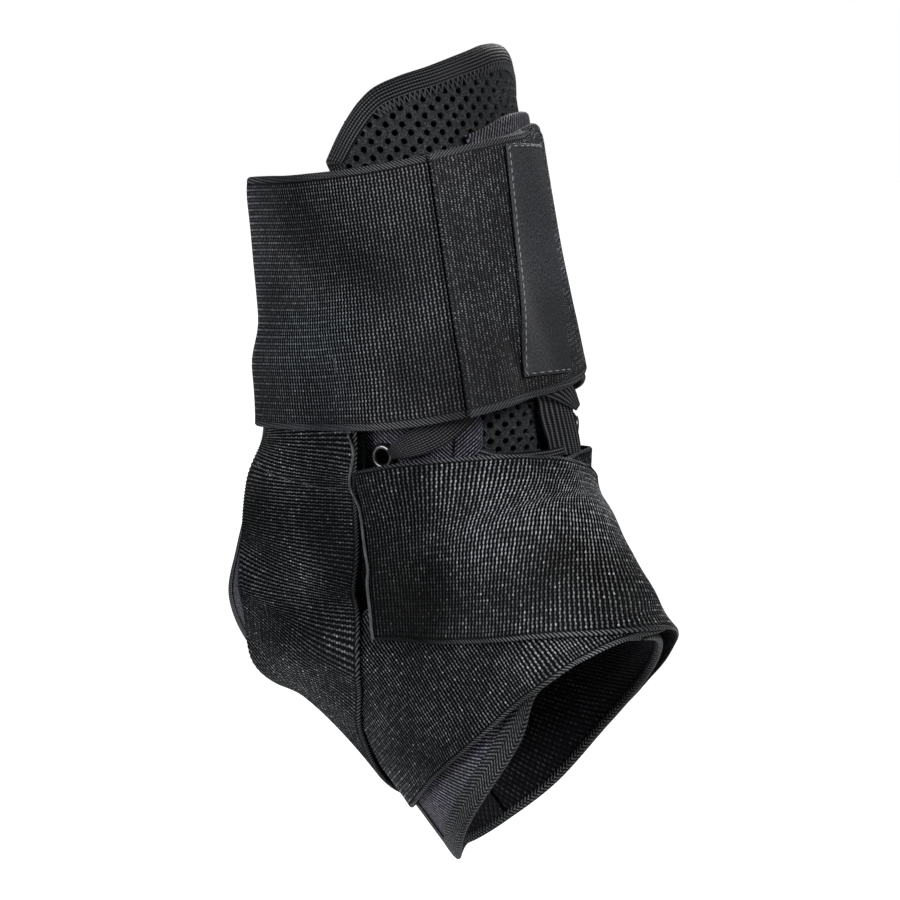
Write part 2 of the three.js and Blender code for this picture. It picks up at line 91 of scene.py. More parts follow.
def smooth(value: np.ndarray, low: float, high: float) -> np.ndarray:
    """A soft step from 0 at low to 1 at high."""
    t = np.clip((value - low) / (high - low), 0.0, 1.0)
    return t * t * (3.0 - 2.0 * t)


def lengths_along(points: np.ndarray) -> np.ndarray:
    """Distance from the first point to each point, along the line through them."""
    return np.concatenate([[0.0], np.cumsum(np.linalg.norm(np.diff(points, axis=0), axis=1))])


def spline(rows: np.ndarray, x: np.ndarray) -> np.ndarray:
    """Draw a smooth curve through rows, straight on past both ends.

    Args:
        rows: values whose first axis is stepped through.
        x: places along that axis, in steps.

    Returns:
        The values at each place.
    """
    rows = np.asarray(rows, float)
    last = len(rows) - 1
    x = np.asarray(x, float)
    i = np.clip(np.floor(x).astype(int), 0, last - 1)
    t = (x - i).reshape(x.shape + (1,) * (rows.ndim - 1))
    ends = np.concatenate([[2 * rows[0] - rows[1]], rows, [2 * rows[-1] - rows[-2]]])
    p0, p1, p2, p3 = ends[i], ends[i + 1], ends[i + 2], ends[i + 3]
    square = 2 * p0 - 5 * p1 + 4 * p2 - p3
    cube = 3 * p1 - p0 - 3 * p2 + p3
    return p1 + 0.5 * ((p2 - p0) * t + square * t**2 + cube * t**3)


def curve(keys: Sequence[float], values: Sequence[float], x: np.ndarray) -> np.ndarray:
    """Read a smooth curve through uneven keys, held level past both ends.

    Args:
        keys: rising places of the rows.
        values: the rows' values.
        x: places to read.

    Returns:
        The value at each place.
    """
    k, v = np.asarray(keys, float), np.asarray(values, float)
    x = np.clip(np.asarray(x, float), k[0], k[-1])
    last = len(k) - 1
    i = np.clip(np.searchsorted(k, x, side="left") - 1, 0, last - 1)
    rows = np.arange(last + 1)
    before, after = np.maximum(rows - 1, 0), np.minimum(rows + 1, last)
    slope = (v[after] - v[before]) / (k[after] - k[before])
    width, rise = k[i + 1] - k[i], v[i + 1] - v[i]
    t = (x - k[i]) / width
    bend_in, bend_out = slope[i] * width - rise, rise - slope[i + 1] * width
    return v[i] + rise * t + t * (1 - t) * (bend_in * (1 - t) + bend_out * t)


def resample(grid: np.ndarray, down: np.ndarray, across: np.ndarray) -> np.ndarray:
    """Read a grid again at other rows and columns, on smooth curves.

    Args:
        grid: values by row and column.
        down: rows to read, counted in the grid's rows.
        across: columns to read, counted in the grid's columns.

    Returns:
        The values at the new rows and columns.
    """
    return np.swapaxes(spline(np.swapaxes(spline(grid, down), 0, 1), across), 0, 1)


def unevenness(x: np.ndarray, y: np.ndarray, size: float, seed: int) -> np.ndarray:
    """Soft random relief over a flat cloth.

    Args:
        x: distance along the cloth.
        y: distance across the cloth.
        size: distance between one swell and the next.
        seed: number that fixes the draw.

    Returns:
        Heights, mostly from -1 to 1.
    """
    draws = np.random.default_rng(seed).normal(0.0, SWELL_SPREAD, (SWELLS, SWELLS))
    i, j = x / size % (SWELLS - 3) + 1, y / size % (SWELLS - 3) + 1
    a, b = np.floor(i).astype(int), np.floor(j).astype(int)
    s, t = smooth(i - a, 0.0, 1.0), smooth(j - b, 0.0, 1.0)
    top = draws[a, b] * (1 - t) + draws[a, b + 1] * t
    low = draws[a + 1, b] * (1 - t) + draws[a + 1, b + 1] * t
    return top * (1 - s) + low * s


@dataclass
class Places:
    """Places on the form, as arrays of one shape."""

    around: np.ndarray
    along: np.ndarray

    def border(self) -> "Places":
        """The places on the edge of a grid, once round it."""
        def ring(g: np.ndarray) -> np.ndarray:
            """One array's edge."""
            return np.concatenate([g[0], g[1:-1, -1], g[-1, ::-1], g[-2:0:-1, 0]])
        return Places(ring(self.around), ring(self.along))

    def resampled(self, down: np.ndarray, across: np.ndarray) -> "Places":
        """The same grid read at other rows and columns."""
        return Places(resample(self.around, down, across), resample(self.along, down, across))

    def at(self, i: np.ndarray, j: np.ndarray) -> "Places":
        """The same grid read between its rows and columns, at loose points."""
        return Places(between(self.around, i, j), between(self.along, i, j))

    def pairs(self) -> np.ndarray:
        """Around and along of each place, side by side."""
        return np.stack([self.around, self.along], 1)

    @staticmethod
    def stacked(rows: Sequence["Places"]) -> "Places":
        """Rows of places as one grid."""
        return Places(np.stack([r.around for r in rows]), np.stack([r.along for r in rows]))


@dataclass
class Surface:
    """The form's surface at some places."""

    point: np.ndarray
    normal: np.ndarray
    by_around: np.ndarray
    by_along: np.ndarray


class Across(Enum):
    """Ways in which a band's width is laid out."""

    SQUARE = "square to its path"
    DOWN = "down the leg"
    ROUND = "round the leg"


class BodyForm:
    """The leg and foot that the brace closes round."""

    STEP_AROUND = 0.4
    STEP_ALONG = 0.01
    STEPS_TO_A_ROW = 24

    def __init__(self) -> None:
        """Turn the table of shares into sections in millimetres."""
        rows = np.array(FORM)
        sizes = np.ones(rows.shape)
        sizes[:, (0, 2)] = np.where(rows[:, (0, 2)] > 0, TOE_REACH, HEEL_REACH)
        sizes[:, (1, 3)] = np.where(rows[:, (1, 3)] > 0, LEG_RISE, FOOT_DROP)
        sizes[:, 4] = HALF_WIDTH
        self.sections = rows * sizes

    def point(self, around: np.ndarray, along: np.ndarray) -> np.ndarray:
        """Find the form's points.

        Args:
            around: degrees from the shin.
            along: sections from the top.

        Returns:
            The points in millimetres.
        """
        s = spline(self.sections, along)
        angle = np.radians(around)
        power = 2.0 / s[..., 5]
        c, n = np.cos(angle), np.sin(angle)
        c, n = np.sign(c) * np.abs(c) ** power, np.sign(n) * np.abs(n) ** power
        middle_x, middle_z = (s[..., 0] + s[..., 2]) / 2, (s[..., 1] + s[..., 3]) / 2
        return np.stack([
            middle_x + (s[..., 0] - middle_x) * c, -s[..., 4] * n,
            middle_z + (s[..., 1] - middle_z) * c,
        ], axis=-1)

    def surface(self, at: Places) -> Surface:
        """The form's points, outward normals and directions at places."""
        u, v, du, dv = at.around, at.along, self.STEP_AROUND, self.STEP_ALONG
        by_around = (self.point(u + du, v) - self.point(u - du, v)) / (2 * du)
        by_along = (self.point(u, v + dv) - self.point(u, v - dv)) / (2 * dv)
        return Surface(self.point(u, v), unit(np.cross(by_around, by_along)), by_around, by_along)

    def raised(self, at: Places, offset: np.ndarray | float) -> np.ndarray:
        """Points at a height above the form."""
        s = self.surface(at)
        return s.point + s.normal * np.broadcast_to(offset, at.around.shape)[..., None]

    def walk(self, at: Places, direction: np.ndarray, distance: np.ndarray | float) -> Places:
        """Walk over the form by a true distance.

        Args:
            at: places to start from.
            direction: the way to go from each place.
            distance: how far to go from each place.

        Returns:
            The places arrived at.
        """
        u, v = at.around.astype(float), at.along.astype(float)
        far = np.broadcast_to(distance, u.shape)
        steps = max(1, int(math.ceil(np.abs(far).max() / STRIDE)))
        heading = direction.copy()
        for _ in range(steps):
            s = self.surface(Places(u, v))
            level = np.sum(heading * s.normal, axis=-1, keepdims=True)
            heading = unit(heading - s.normal * level)
            aa = np.sum(s.by_around**2, axis=-1)
            ab = np.sum(s.by_around * s.by_along, axis=-1)
            bb = np.sum(s.by_along**2, axis=-1)
            a = np.sum(s.by_around * heading, axis=-1) * far / steps
            b = np.sum(s.by_along * heading, axis=-1) * far / steps
            scale = 1.0 / (aa * bb - ab * ab)
            u, v = u + (bb * a - ab * b) * scale, v + (aa * b - ab * a) * scale
        return Places(u, v)

    def path(self, rows: Rows, cell: float) -> tuple[Places, np.ndarray, float]:
        """Cut a path through rows into equal steps by true length.

        Args:
            rows: around and along of the path's points, then any further values.
            cell: the length of a step.

        Returns:
            The steps' places, their further values and the path's length.
        """
        last = len(rows) - 1
        fine = spline(np.array(rows, float), np.linspace(0, last, last * self.STEPS_TO_A_ROW + 1))
        points = self.raised(Places(fine[:, 0], fine[:, 1]), SURFACE_OFFSET)
        lengths = lengths_along(points)
        count = max(2, round(lengths[-1] / cell))
        targets = np.linspace(0, lengths[-1], count + 1)
        steps = np.stack([np.interp(targets, lengths, column) for column in fine.T])
        return Places(steps[0], steps[1]), steps[2:], float(lengths[-1])

    def band(self, rows: Rows, width: float, cell: float, across: Across) -> "Band":
        """Lay a band of true width along a path.

        Args:
            rows: around, along, share of the width and any lean at the path's points.
            width: the band's width.
            cell: spacing of the places.
            across: how the width is laid out.

        Returns:
            The band's places, a row of them for each step of the path.
        """
        path, (share, *leans), length = self.path(rows, cell)
        points = self.raised(path, SURFACE_OFFSET)
        forward = np.concatenate([[points[1] - points[0]], points[2:] - points[:-2],
                                  [points[-1] - points[-2]]])
        s = self.surface(path)
        sideways = {Across.SQUARE: np.cross(s.normal, forward), Across.DOWN: s.by_along,
                    Across.ROUND: s.by_around}[across]
        if leans:
            lean = np.radians(leans[0])[:, None]
            flat = unit(sideways - s.normal * np.sum(sideways * s.normal, axis=-1, keepdims=True))
            sideways = flat * np.cos(lean) + np.cross(s.normal, flat) * np.sin(lean)
            share = share / np.cos(lean[:, 0])
        cells = max(2, round(width / cell))
        shares = np.linspace(-0.5, 0.5, cells + 1)
        grid = Places(np.repeat(path.around[:, None], cells + 1, 1),
                      np.repeat(path.along[:, None], cells + 1, 1))
        ways = np.repeat(sideways[:, None], cells + 1, 1)
        places = self.walk(grid, ways, share[:, None] * shares[None] * width)
        return Band(places, length, width)


@dataclass
class Band:
    """A grid of places with its true length down the rows and width across the columns."""

    places: Places
    length: float
    width: float


@dataclass
class Footprint:
    """The area that a laid piece covers, and how thick it is."""

    outline: np.ndarray
    samples: np.ndarray
    thickness: float


class Layers:
    """What is laid on the form so far. Each piece lies on all that was laid before it."""

    SAMPLE_SPACING = 2.0

    def __init__(self, form: BodyForm) -> None:
        """Start with nothing laid."""
        self.form = form
        self.levels: list[list[Footprint]] = []

    def footprint(self, places: Places, thickness: float) -> Footprint:
        """Draw round a piece.

        Args:
            places: the grid of places that it covers.
            thickness: its thickness.

        Returns:
            Its footprint.
        """
        ring = places.border()
        points = self.form.raised(ring, SURFACE_OFFSET)
        after = np.roll(points, -1, axis=0)
        samples = []
        for start, end in zip(points, after):
            count = max(1, math.ceil(float(np.linalg.norm(end - start)) / self.SAMPLE_SPACING))
            samples.append(start + (end - start) * (np.arange(count) / count)[:, None])
        return Footprint(ring.pairs(), np.concatenate(samples), thickness)

    def add(self, *pieces: Footprint) -> None:
        """Lay pieces side by side, over all that was laid before."""
        self.levels.append(list(pieces))

    @staticmethod
    def inside(u: np.ndarray, v: np.ndarray, outline: np.ndarray) -> np.ndarray:
        """Tell which places lie inside an outline, tried one turn either way.

        Args:
            u: around of the places.
            v: along of the places.
            outline: around and along of the outline's corners.

        Returns:
            True for each place inside.
        """
        a, b = outline, np.roll(outline, -1, axis=0)
        within = np.zeros(u.shape, bool)
        spans = (a[:, 1] > v[:, None]) != (b[:, 1] > v[:, None])
        rise = np.where(b[:, 1] == a[:, 1], 1.0, b[:, 1] - a[:, 1])
        edge = a[:, 0] + (v[:, None] - a[:, 1]) / rise * (b[:, 0] - a[:, 0])
        for turn in (-TURN, 0.0, TURN):
            within |= np.sum(spans & (u[:, None] + turn < edge), axis=1) % 2 == 1
        return within

    def lift(self, u: np.ndarray, v: np.ndarray, points: np.ndarray,
             piece: Footprint) -> np.ndarray:
        """Measure how far one laid piece lifts what lies over each place.

        Args:
            u: around of the places.
            v: along of the places.
            points: the same places in millimetres.
            piece: the laid piece.

        Returns:
            The lift at each place.
        """
        full = piece.thickness + CLEARANCE
        squares = (np.sum(points**2, 1)[:, None] + np.sum(piece.samples**2, 1)[None]
                   - 2 * points @ piece.samples.T)
        distance = np.sqrt(np.maximum(squares.min(axis=1), 0.0))
        reach = EDGE_FALL + FALL_PER_THICKNESS * piece.thickness
        fading = full * (1.0 - smooth((distance - EDGE_HOLD) / reach, 0.0, 1.0))
        return np.where(self.inside(u, v, piece.outline), full, fading)

    def height(self, at: Places) -> np.ndarray:
        """The height of everything laid so far, above the form."""
        u, v = at.around.ravel(), at.along.ravel()
        points = self.form.raised(Places(u, v), SURFACE_OFFSET)
        total = np.zeros(len(u))
        for level in self.levels:
            total += np.max([self.lift(u, v, points, piece) for piece in level], axis=0)
        return total.reshape(at.around.shape)

    def rest(self, at: Places) -> np.ndarray:
        """The height at which the inner face of a new piece rests."""
        return SKIN_GAP + self.height(at)


class Nodes:
    """A short way to add and join the nodes of one tree."""

    def __init__(self, tree: bpy.types.NodeTree) -> None:
        """Work on a tree."""
        self.tree = tree

    def put(self, socket: bpy.types.NodeSocket, value: Any) -> None:
        """Join a socket to another, or set what it holds."""
        if isinstance(value, bpy.types.NodeSocket):
            self.tree.links.new(value, socket)
        else:
            socket.default_value = value

    def add(self, kind: str, inputs: dict[Any, Any] | None = None,
            **settings: Any) -> bpy.types.Node:
        """Add a node.

        Args:
            kind: the node's type.
            inputs: sockets or values for its inputs, by name or number.
            settings: the node's own properties.

        Returns:
            The node.
        """
        node = self.tree.nodes.new(kind)
        for key, value in settings.items():
            setattr(node, key, value)
        for key, value in (inputs or {}).items():
            self.put(node.inputs[key], value)
        return node

    def math(self, operation: str, *values: Any, clamp: bool = False) -> bpy.types.NodeSocket:
        """The result of a sum on numbers or sockets."""
        node = self.add("ShaderNodeMath", dict(enumerate(values)), operation=operation)
        node.use_clamp = clamp
        return node.outputs[0]

    def mark(self, name: str) -> bpy.types.NodeSocket:
        """Read a number that is kept on a mesh, in a material."""
        return self.add("ShaderNodeAttribute", attribute_name=name).outputs["Fac"]

    def wave(self, distance: Any, pitch: float, shift: Any = 0.0) -> bpy.types.NodeSocket:
        """A wave from 0 to 1 with a crest at every whole pitch."""
        turns = self.math("ADD", self.math("DIVIDE", distance, pitch), shift)
        crest = self.math("COSINE", self.math("MULTIPLY", turns, 2 * math.pi))
        return self.math("MULTIPLY_ADD", crest, 0.5, 0.5)

    def step(self, value: Any, low: float, high: float, to_low: float = 0.0,
             to_high: float = 1.0) -> bpy.types.NodeSocket:
        """A soft step of a value from one level to another."""
        node = self.add("ShaderNodeMapRange", {0: value, 1: low, 2: high, 3: to_low, 4: to_high},
                        interpolation_type="SMOOTHSTEP")
        return node.outputs[0]

    def noise(self, x: Any, y: Any, scale: float, **inputs: float) -> bpy.types.NodeSocket:
        """Noise over a flat cloth, given its scale and the texture's other inputs."""
        at = self.add("ShaderNodeCombineXYZ", {0: x, 1: y})
        inputs = {"Vector": at.outputs[0], "Scale": scale, **inputs}
        return self.add("ShaderNodeTexNoise", inputs).outputs[0]

    def blend(self, share: Any, low: Any, high: Any) -> bpy.types.NodeSocket:
        """A colour between two colours."""
        node = self.add("ShaderNodeMix", {0: share}, data_type="RGBA")
        self.put(node.inputs[6], low)
        self.put(node.inputs[7], high)
        return node.outputs[2]


def opaque(colour: Colour) -> tuple[float, float, float, float]:
    """A colour with full cover."""
    return (*colour, 1.0)


@dataclass(frozen=True)
class Finish:
    """A finish of cloth, thread or moulding. Lengths are millimetres on the piece's cloth map."""

    name: str
    dark: Colour
    light: Colour
    roughness: float = 0.5
    gloss: float = 0.04
    relief: float = 0.25
    patchy: tuple[float, float] = (0.55, 1.2)
    tint: Colour = (0.95, 1.0, 1.04)
    turn: float = 0.0

    CLOUD_SCALE = 28.0
    CLOUDY, TINTED = (0.3, 0.7), (0.35, 0.65)

    def pattern(self, n: Nodes, x: Any, y: Any) -> tuple[Any, Any]:
        """Draw the cloth's pattern.

        Args:
            n: the material's nodes.
            x: distance along the cloth; not used here.
            y: distance across the cloth; not used here.

        Returns:
            The share of the light colour, and the height from 0 to 1.
        """
        grain = n.add("ShaderNodeTexNoise", {"Scale": 900.0, "Detail": 2.0})
        return n.step(grain.outputs[0], 0.45, 0.75), grain.outputs[0]

    def material(self) -> bpy.types.Material:
        """The finish as a material, made once."""
        known = bpy.data.materials.get(self.name)
        if known:
            return known
        material = bpy.data.materials.new(self.name)
        material.use_nodes = True
        material.node_tree.nodes.clear()
        n = Nodes(material.node_tree)
        split = n.add("ShaderNodeSeparateXYZ", {0: n.add("ShaderNodeUVMap", uv_map=MAP).outputs[0]})
        c, s = math.cos(math.radians(self.turn)), math.sin(math.radians(self.turn))
        x = n.math("MULTIPLY_ADD", split.outputs[0], c, n.math("MULTIPLY", split.outputs[1], s))
        y = n.math("MULTIPLY_ADD", split.outputs[1], c, n.math("MULTIPLY", split.outputs[0], -s))
        share, height = self.pattern(n, x, y)
        place = n.add("ShaderNodeTexCoord").outputs["Object"]
        cloud = n.add("ShaderNodeTexNoise", {"Vector": place, "Scale": self.CLOUD_SCALE,
                                             "Detail": 1.0})
        # The share of the light colour is scaled by random patches of tone and by the painted shade
        # kept on the mesh.
        patchy_tone_and_painted_shading = n.math("MULTIPLY", n.step(cloud.outputs[0], *self.CLOUDY, *self.patchy),
                        n.mark(PAINTED_SHADE))
        tinted = n.blend(n.step(cloud.outputs[1], *self.TINTED), opaque(self.light),
                         opaque(tuple(c * k for c, k in zip(self.light, self.tint))))
        colour = n.blend(n.math("MULTIPLY", share, patchy_tone_and_painted_shading, clamp=True), opaque(self.dark), tinted)
        bump = n.add("ShaderNodeBump", {"Height": height, "Distance": self.relief * MM,
                                        "Strength": 1.0})
        shader = n.add("ShaderNodeBsdfPrincipled", {
            "Base Color": colour, "Normal": bump.outputs[0], "Roughness": self.roughness,
            "Specular IOR Level": self.gloss})
        n.add("ShaderNodeOutputMaterial", {0: shader.outputs[0]})
        return material


@dataclass(frozen=True)
class RibbedElastic(Finish):
    """Elastic webbing: ribs across its length, each a chain of short floats of yarn."""

    pitch: float = 1.1
    float_pitch: float = 1.1
    stagger: float = 0.5
    specks: float = 0.5
    beading: float = 0.45
    wiggle: float = 0.13
    hem: float = 2.5
    # Painted glint: how much brighter a few floats, drawn at random, are painted.
    painted_glint: float = 0.5

    LIT, SPECKLED, GLINTING = (0.5, 0.85), (0.2, 1.0), (0.955, 0.985)
    HEM_EDGE, HEM_FADE, HATCH_PITCH, HATCHED = 0.35, 0.5, 1.0, (0.3, 0.9, 0.0, 0.5)

    def pattern(self, n: Nodes, x: Any, y: Any) -> tuple[Any, Any]:
        """Ribs across the length, floats along each rib, and a hem along both sides.

        Args:
            n: the material's nodes.
            x: distance along the cloth.
            y: distance across it.

        Returns:
            The thread's brightness, its painted light and glints included, and its height.
        """
        row = n.math("FLOOR", n.math("ADD", n.math("DIVIDE", x, self.pitch), 0.5))
        shift = n.math("MULTIPLY", n.math("MODULO", row, 2.0), self.stagger)
        sway = n.math("SUBTRACT", n.wave(y, self.float_pitch * 2), 0.5)
        rib = n.wave(n.math("MULTIPLY_ADD", sway, 2 * self.wiggle * self.pitch, x), self.pitch)
        bead = n.wave(y, self.float_pitch, shift)
        thread = n.math("MULTIPLY", rib, n.math("MULTIPLY_ADD", bead, self.beading,
                                                1.0 - self.beading))
        cell = n.math("FLOOR", n.math("ADD", n.math("DIVIDE", y, self.float_pitch), 0.5))
        at = n.add("ShaderNodeCombineXYZ", {0: row, 1: cell})
        draw = n.add("ShaderNodeTexWhiteNoise", {"Vector": at.outputs[0]}, noise_dimensions="2D")
        speck = n.step(draw.outputs[0], *self.SPECKLED, 1.0 - self.specks, 1.0)
        # Painted glint: a few floats drawn at random are painted bright, as though they caught a
        # highlight.
        painted_glint = n.math("MULTIPLY", n.step(draw.outputs[0], *self.GLINTING, 0.0, self.painted_glint), bead)
        # Painted light: the black yarn's crests are painted much lighter, as though lit, against
        # near-black troughs painted as shade; the ribs and floats are the real weave.
        bright = n.math("MULTIPLY", n.step(thread, *self.LIT), n.math("ADD", speck, painted_glint))
        side = n.mark(FROM_SIDE)
        inner = n.step(side, self.hem, self.hem + self.HEM_EDGE)
        hatch = n.step(n.wave(n.math("ADD", x, y), self.HATCH_PITCH), *self.HATCHED)
        hemmed = n.math("MULTIPLY", hatch, n.step(side, self.hem, self.hem - self.HEM_FADE))
        return n.math("MULTIPLY_ADD", bright, inner, hemmed), thread


@dataclass(frozen=True)
class Twill(Finish):
    """Twill cloth, with its wales at a slant. A herringbone changes its slant across the width."""

    wale: float = 1.2
    slope: float = 1.0
    turn_width: float = 0.0

    YARN, ROUGH, LIT, GRAIN, GRAINY = 0.6, 0.4, (0.3, 0.9), 0.9, (0.35, 0.65, 0.4, 1.0)

    def pattern(self, n: Nodes, x: Any, y: Any) -> tuple[Any, Any]:
        """Slanting wales, broken up by the yarn.

        Args:
            n: the material's nodes.
            x: distance along the cloth.
            y: distance across it.

        Returns:
            The thread's brightness and its height.
        """
        side = n.math("PINGPONG", y, self.turn_width) if self.turn_width else y
        slant = n.math("MULTIPLY_ADD", side, self.slope, x)
        wale = n.wave(slant, self.wale)
        yarn = n.wave(y, self.wale * self.YARN)
        height = n.math("MULTIPLY", wale, n.math("MULTIPLY_ADD", yarn, self.ROUGH,
                                                 1.0 - self.ROUGH))
        grain = n.step(n.noise(x, y, self.GRAIN, Detail=2.0), *self.GRAINY)
        return n.math("MULTIPLY", n.step(height, *self.LIT), grain), height


@dataclass(frozen=True)
class Knit(Finish):
    """Fine knit with lengthwise lines."""

    line: float = 1.1
    loop: float = 0.8

    def pattern(self, n: Nodes, x: Any, y: Any) -> tuple[Any, Any]:
        """Lines along the cloth, made of small loops."""
        lines = n.wave(y, self.line)
        loops = n.wave(x, self.loop, n.math("MULTIPLY", lines, 0.3))
        height = n.math("MULTIPLY", n.math("MULTIPLY_ADD", loops, 0.5, 0.5), lines)
        return n.step(height, 0.3, 0.95), height


@dataclass(frozen=True)
class Pile(Finish):
    """Brushed pile of tangled loops."""

    tuft: float = 0.7

    def pattern(self, n: Nodes, x: Any, y: Any) -> tuple[Any, Any]:
        """Tangled tufts."""
        tangle = n.noise(x, y, 1.0 / self.tuft, Detail=5.0, Roughness=0.75, Distortion=1.5)
        return n.step(tangle, 0.5, 0.75), tangle


@dataclass(frozen=True)
class Plain(Finish):
    """Smooth cloth or moulding with a faint grain."""

    grain: float = 0.25

    DRAWN_OUT = 0.35

    def pattern(self, n: Nodes, x: Any, y: Any) -> tuple[Any, Any]:
        """A faint grain that runs along the cloth."""
        grain = n.noise(n.math("MULTIPLY", x, self.DRAWN_OUT), y, 1.0 / self.grain, Detail=3.0)
        return n.step(grain, 0.35, 0.7), grain


WEBBING = RibbedElastic(
    "strap webbing", (0.0007, 0.0007, 0.0008), (0.165, 0.166, 0.17), patchy=(0.25, 1.15),
    stagger=0.0, wiggle=0.06, hem=1.3, beading=0.35, specks=0.65, painted_glint=1.3, gloss=0.02)
ELASTIC = RibbedElastic(
    "cuff elastic", (0.0009, 0.0009, 0.0010), (0.092, 0.092, 0.097), stagger=0.0, beading=0.4,
    patchy=(0.4, 1.15), wiggle=0.08, tint=(0.92, 1.0, 1.04), gloss=0.02)
TAB_ELASTIC = RibbedElastic(
    "tab elastic", (0.0034, 0.0034, 0.0036), (0.115, 0.117, 0.123), pitch=0.95, float_pitch=0.8,
    specks=0.8, wiggle=0.12, patchy=(0.4, 1.1))
LINING = RibbedElastic(
    "lining", (0.0025, 0.0023, 0.0027), (0.021, 0.0198, 0.0235), pitch=1.5, float_pitch=1.4,
    specks=0.8, gloss=0.02, hem=-1.0, wiggle=0.0, turn=45.0)
BACKING = Plain("strap backing", (0.0015, 0.0016, 0.0018), (0.007, 0.0075, 0.008), roughness=0.8)
BOOT_TWILL = Twill("boot twill", (0.002, 0.002, 0.0022), (0.12, 0.121, 0.13), wale=1.3,
                   tint=(1.0, 0.9, 1.2))
HEEL_CLOTH = Twill("heel cloth", (0.0016, 0.0016, 0.0018), (0.05, 0.051, 0.055), wale=0.95,
                   relief=0.15)
HERRINGBONE = Twill("binding twill", (0.0012, 0.0012, 0.0013), (0.075, 0.075, 0.077), wale=1.5,
                    turn_width=3.6)
STRIPED = Knit("striped webbing", (0.0014, 0.0014, 0.0016), (0.06, 0.06, 0.064), line=1.35)
KNIT = Knit("edge knit", (0.0015, 0.0015, 0.0017), (0.05, 0.051, 0.054), line=1.05, loop=0.9)
LACE_WEAVE = Knit("lace weave", (0.0018, 0.0017, 0.0019), (0.04, 0.039, 0.041), line=0.7, loop=0.9)
NET = Pile("spacer mesh", (0.005, 0.0053, 0.0057), (0.12, 0.126, 0.13), tuft=0.45)
# Painted shadow: a near-black, glossless floor seen in the net's holes and the eyelets' holes as
# the shade in them; under the net it also stands for the mesh's own dark backing.
PAINTED_SHADOW_FLOOR = Pile("spacer mesh floor", (0.0003, 0.0003, 0.0003), (0.001, 0.001, 0.0012),
                 roughness=0.9, gloss=0.0)
LOOP_PILE = Pile("loop pile", (0.0008, 0.0011, 0.0011), (0.022, 0.028, 0.026), tuft=0.6)
SATIN = Plain("satin patch", (0.003, 0.0032, 0.0037), (0.019, 0.0195, 0.0215), roughness=0.48,
              gloss=0.1, relief=0.12, grain=0.3)
MOULDED = Plain("eyelet", (0.0012, 0.0012, 0.0012), (0.0015, 0.0015, 0.0015), roughness=0.14,
                gloss=0.35, relief=0.0)
THREAD = Plain("stitch thread", (0.05, 0.051, 0.053), (0.15, 0.152, 0.155))
DARK_THREAD = Plain("dark thread", (0.012, 0.012, 0.013), (0.05, 0.051, 0.053))
PALE_EDGE = Plain("pale edge", (0.02, 0.021, 0.022), (0.06, 0.063, 0.064))


def new_piece(name: str, mesh: bpy.types.Mesh) -> Piece:
    """A mesh as an object in the scene."""
    piece = bpy.data.objects.new(name, mesh)
    bpy.context.scene.collection.objects.link(piece)
    return piece


def keep_mark(mesh: bpy.types.Mesh, name: str, values: np.ndarray) -> None:
    """Keep a number or a direction at each vertex of a mesh."""
    kind, field = ("FLOAT", "value") if values.ndim == 1 else ("FLOAT_VECTOR", "vector")
    kept = mesh.attributes.new(name, kind, "POINT")
    kept.data.foreach_set(field, values.astype(np.float32).ravel())


def map_cloth(mesh: bpy.types.Mesh, cloth: np.ndarray) -> None:
    """Give a mesh its cloth map, from distances along and across the cloth at each vertex."""
    corner = np.zeros(len(mesh.loops), np.int32)
    mesh.loops.foreach_get("vertex_index", corner)
    layer = mesh.uv_layers.new(name=MAP)
    layer.data.foreach_set("uv", cloth[corner].astype(np.float32).ravel())


def build_mesh(name: str, points: np.ndarray, faces: list[tuple[int, ...]], cloth: np.ndarray,
               finishes: Sequence[Finish], finish_of: np.ndarray | None = None,
               marks: dict[str, np.ndarray] | None = None) -> bpy.types.Mesh:
    """Make a mesh with its cloth map and finishes.

    Args:
        name: the mesh's name.
        points: vertices in millimetres.
        faces: corners of each face.
        cloth: distance along and across the cloth at each vertex.
        finishes: the finishes on the mesh.
        finish_of: which finish each face has.
        marks: further numbers kept at each vertex.

    Returns:
        The mesh, in metres.
    """
    mesh = bpy.data.meshes.new(name)
    mesh.from_pydata((points * MM).tolist(), [], faces)
    map_cloth(mesh, cloth)
    for finish in finishes:
        mesh.materials.append(finish.material())
    if finish_of is not None:
        mesh.polygons.foreach_set("material_index", finish_of.astype(np.int32))
    plain = {PAINTED_SHADE: np.ones(len(points)), FROM_SIDE: np.full(len(points), FAR_FROM_SIDE)}
    for key, values in (plain | (marks or {})).items():
        keep_mark(mesh, key, values)
    mesh.polygons.foreach_set("use_smooth", np.ones(len(mesh.polygons), bool))
    mesh.update()
    return mesh


def grid_faces(rows: int, columns: int, start: int = 0,
               around: bool = False) -> list[tuple[int, ...]]:
    """List the faces of a grid of vertices.

    Args:
        rows: rows of vertices.
        columns: vertices to a row.
        start: number of the first vertex.
        around: whether the last column is joined to the first.

    Returns:
        The corners of each face.
    """
    faces = []
    for i in range(rows - 1):
        for j in range(columns if around else columns - 1):
            k = (j + 1) % columns
            faces.append((start + i * columns + j, start + (i + 1) * columns + j,
                          start + (i + 1) * columns + k, start + i * columns + k))
    return faces


def turned(faces: list[tuple[int, ...]]) -> list[tuple[int, ...]]:
    """The same faces, seen from the other side."""
    return [tuple(reversed(face)) for face in faces]


def edge_spaced(length: float, cell: float) -> np.ndarray:
    """Distances along a cloth, closer together where its edges roll over."""
    roll = np.array(ROLL)
    first = 2 * roll[-1]
    middle = np.linspace(first, length - first, max(2, round((length - 2 * first) / cell) + 1))
    return np.concatenate([roll, middle, length - roll[::-1]])


def between(grid: np.ndarray, i: np.ndarray, j: np.ndarray) -> np.ndarray:
    """Read a grid between its rows and columns, at loose points."""
    a = np.clip(np.floor(i).astype(int), 0, grid.shape[0] - 2)
    b = np.clip(np.floor(j).astype(int), 0, grid.shape[1] - 2)
    s, t = i - a, j - b
    return ((grid[a, b] * (1 - t) + grid[a, b + 1] * t) * (1 - s)
            + (grid[a + 1, b] * (1 - t) + grid[a + 1, b + 1] * t) * s)


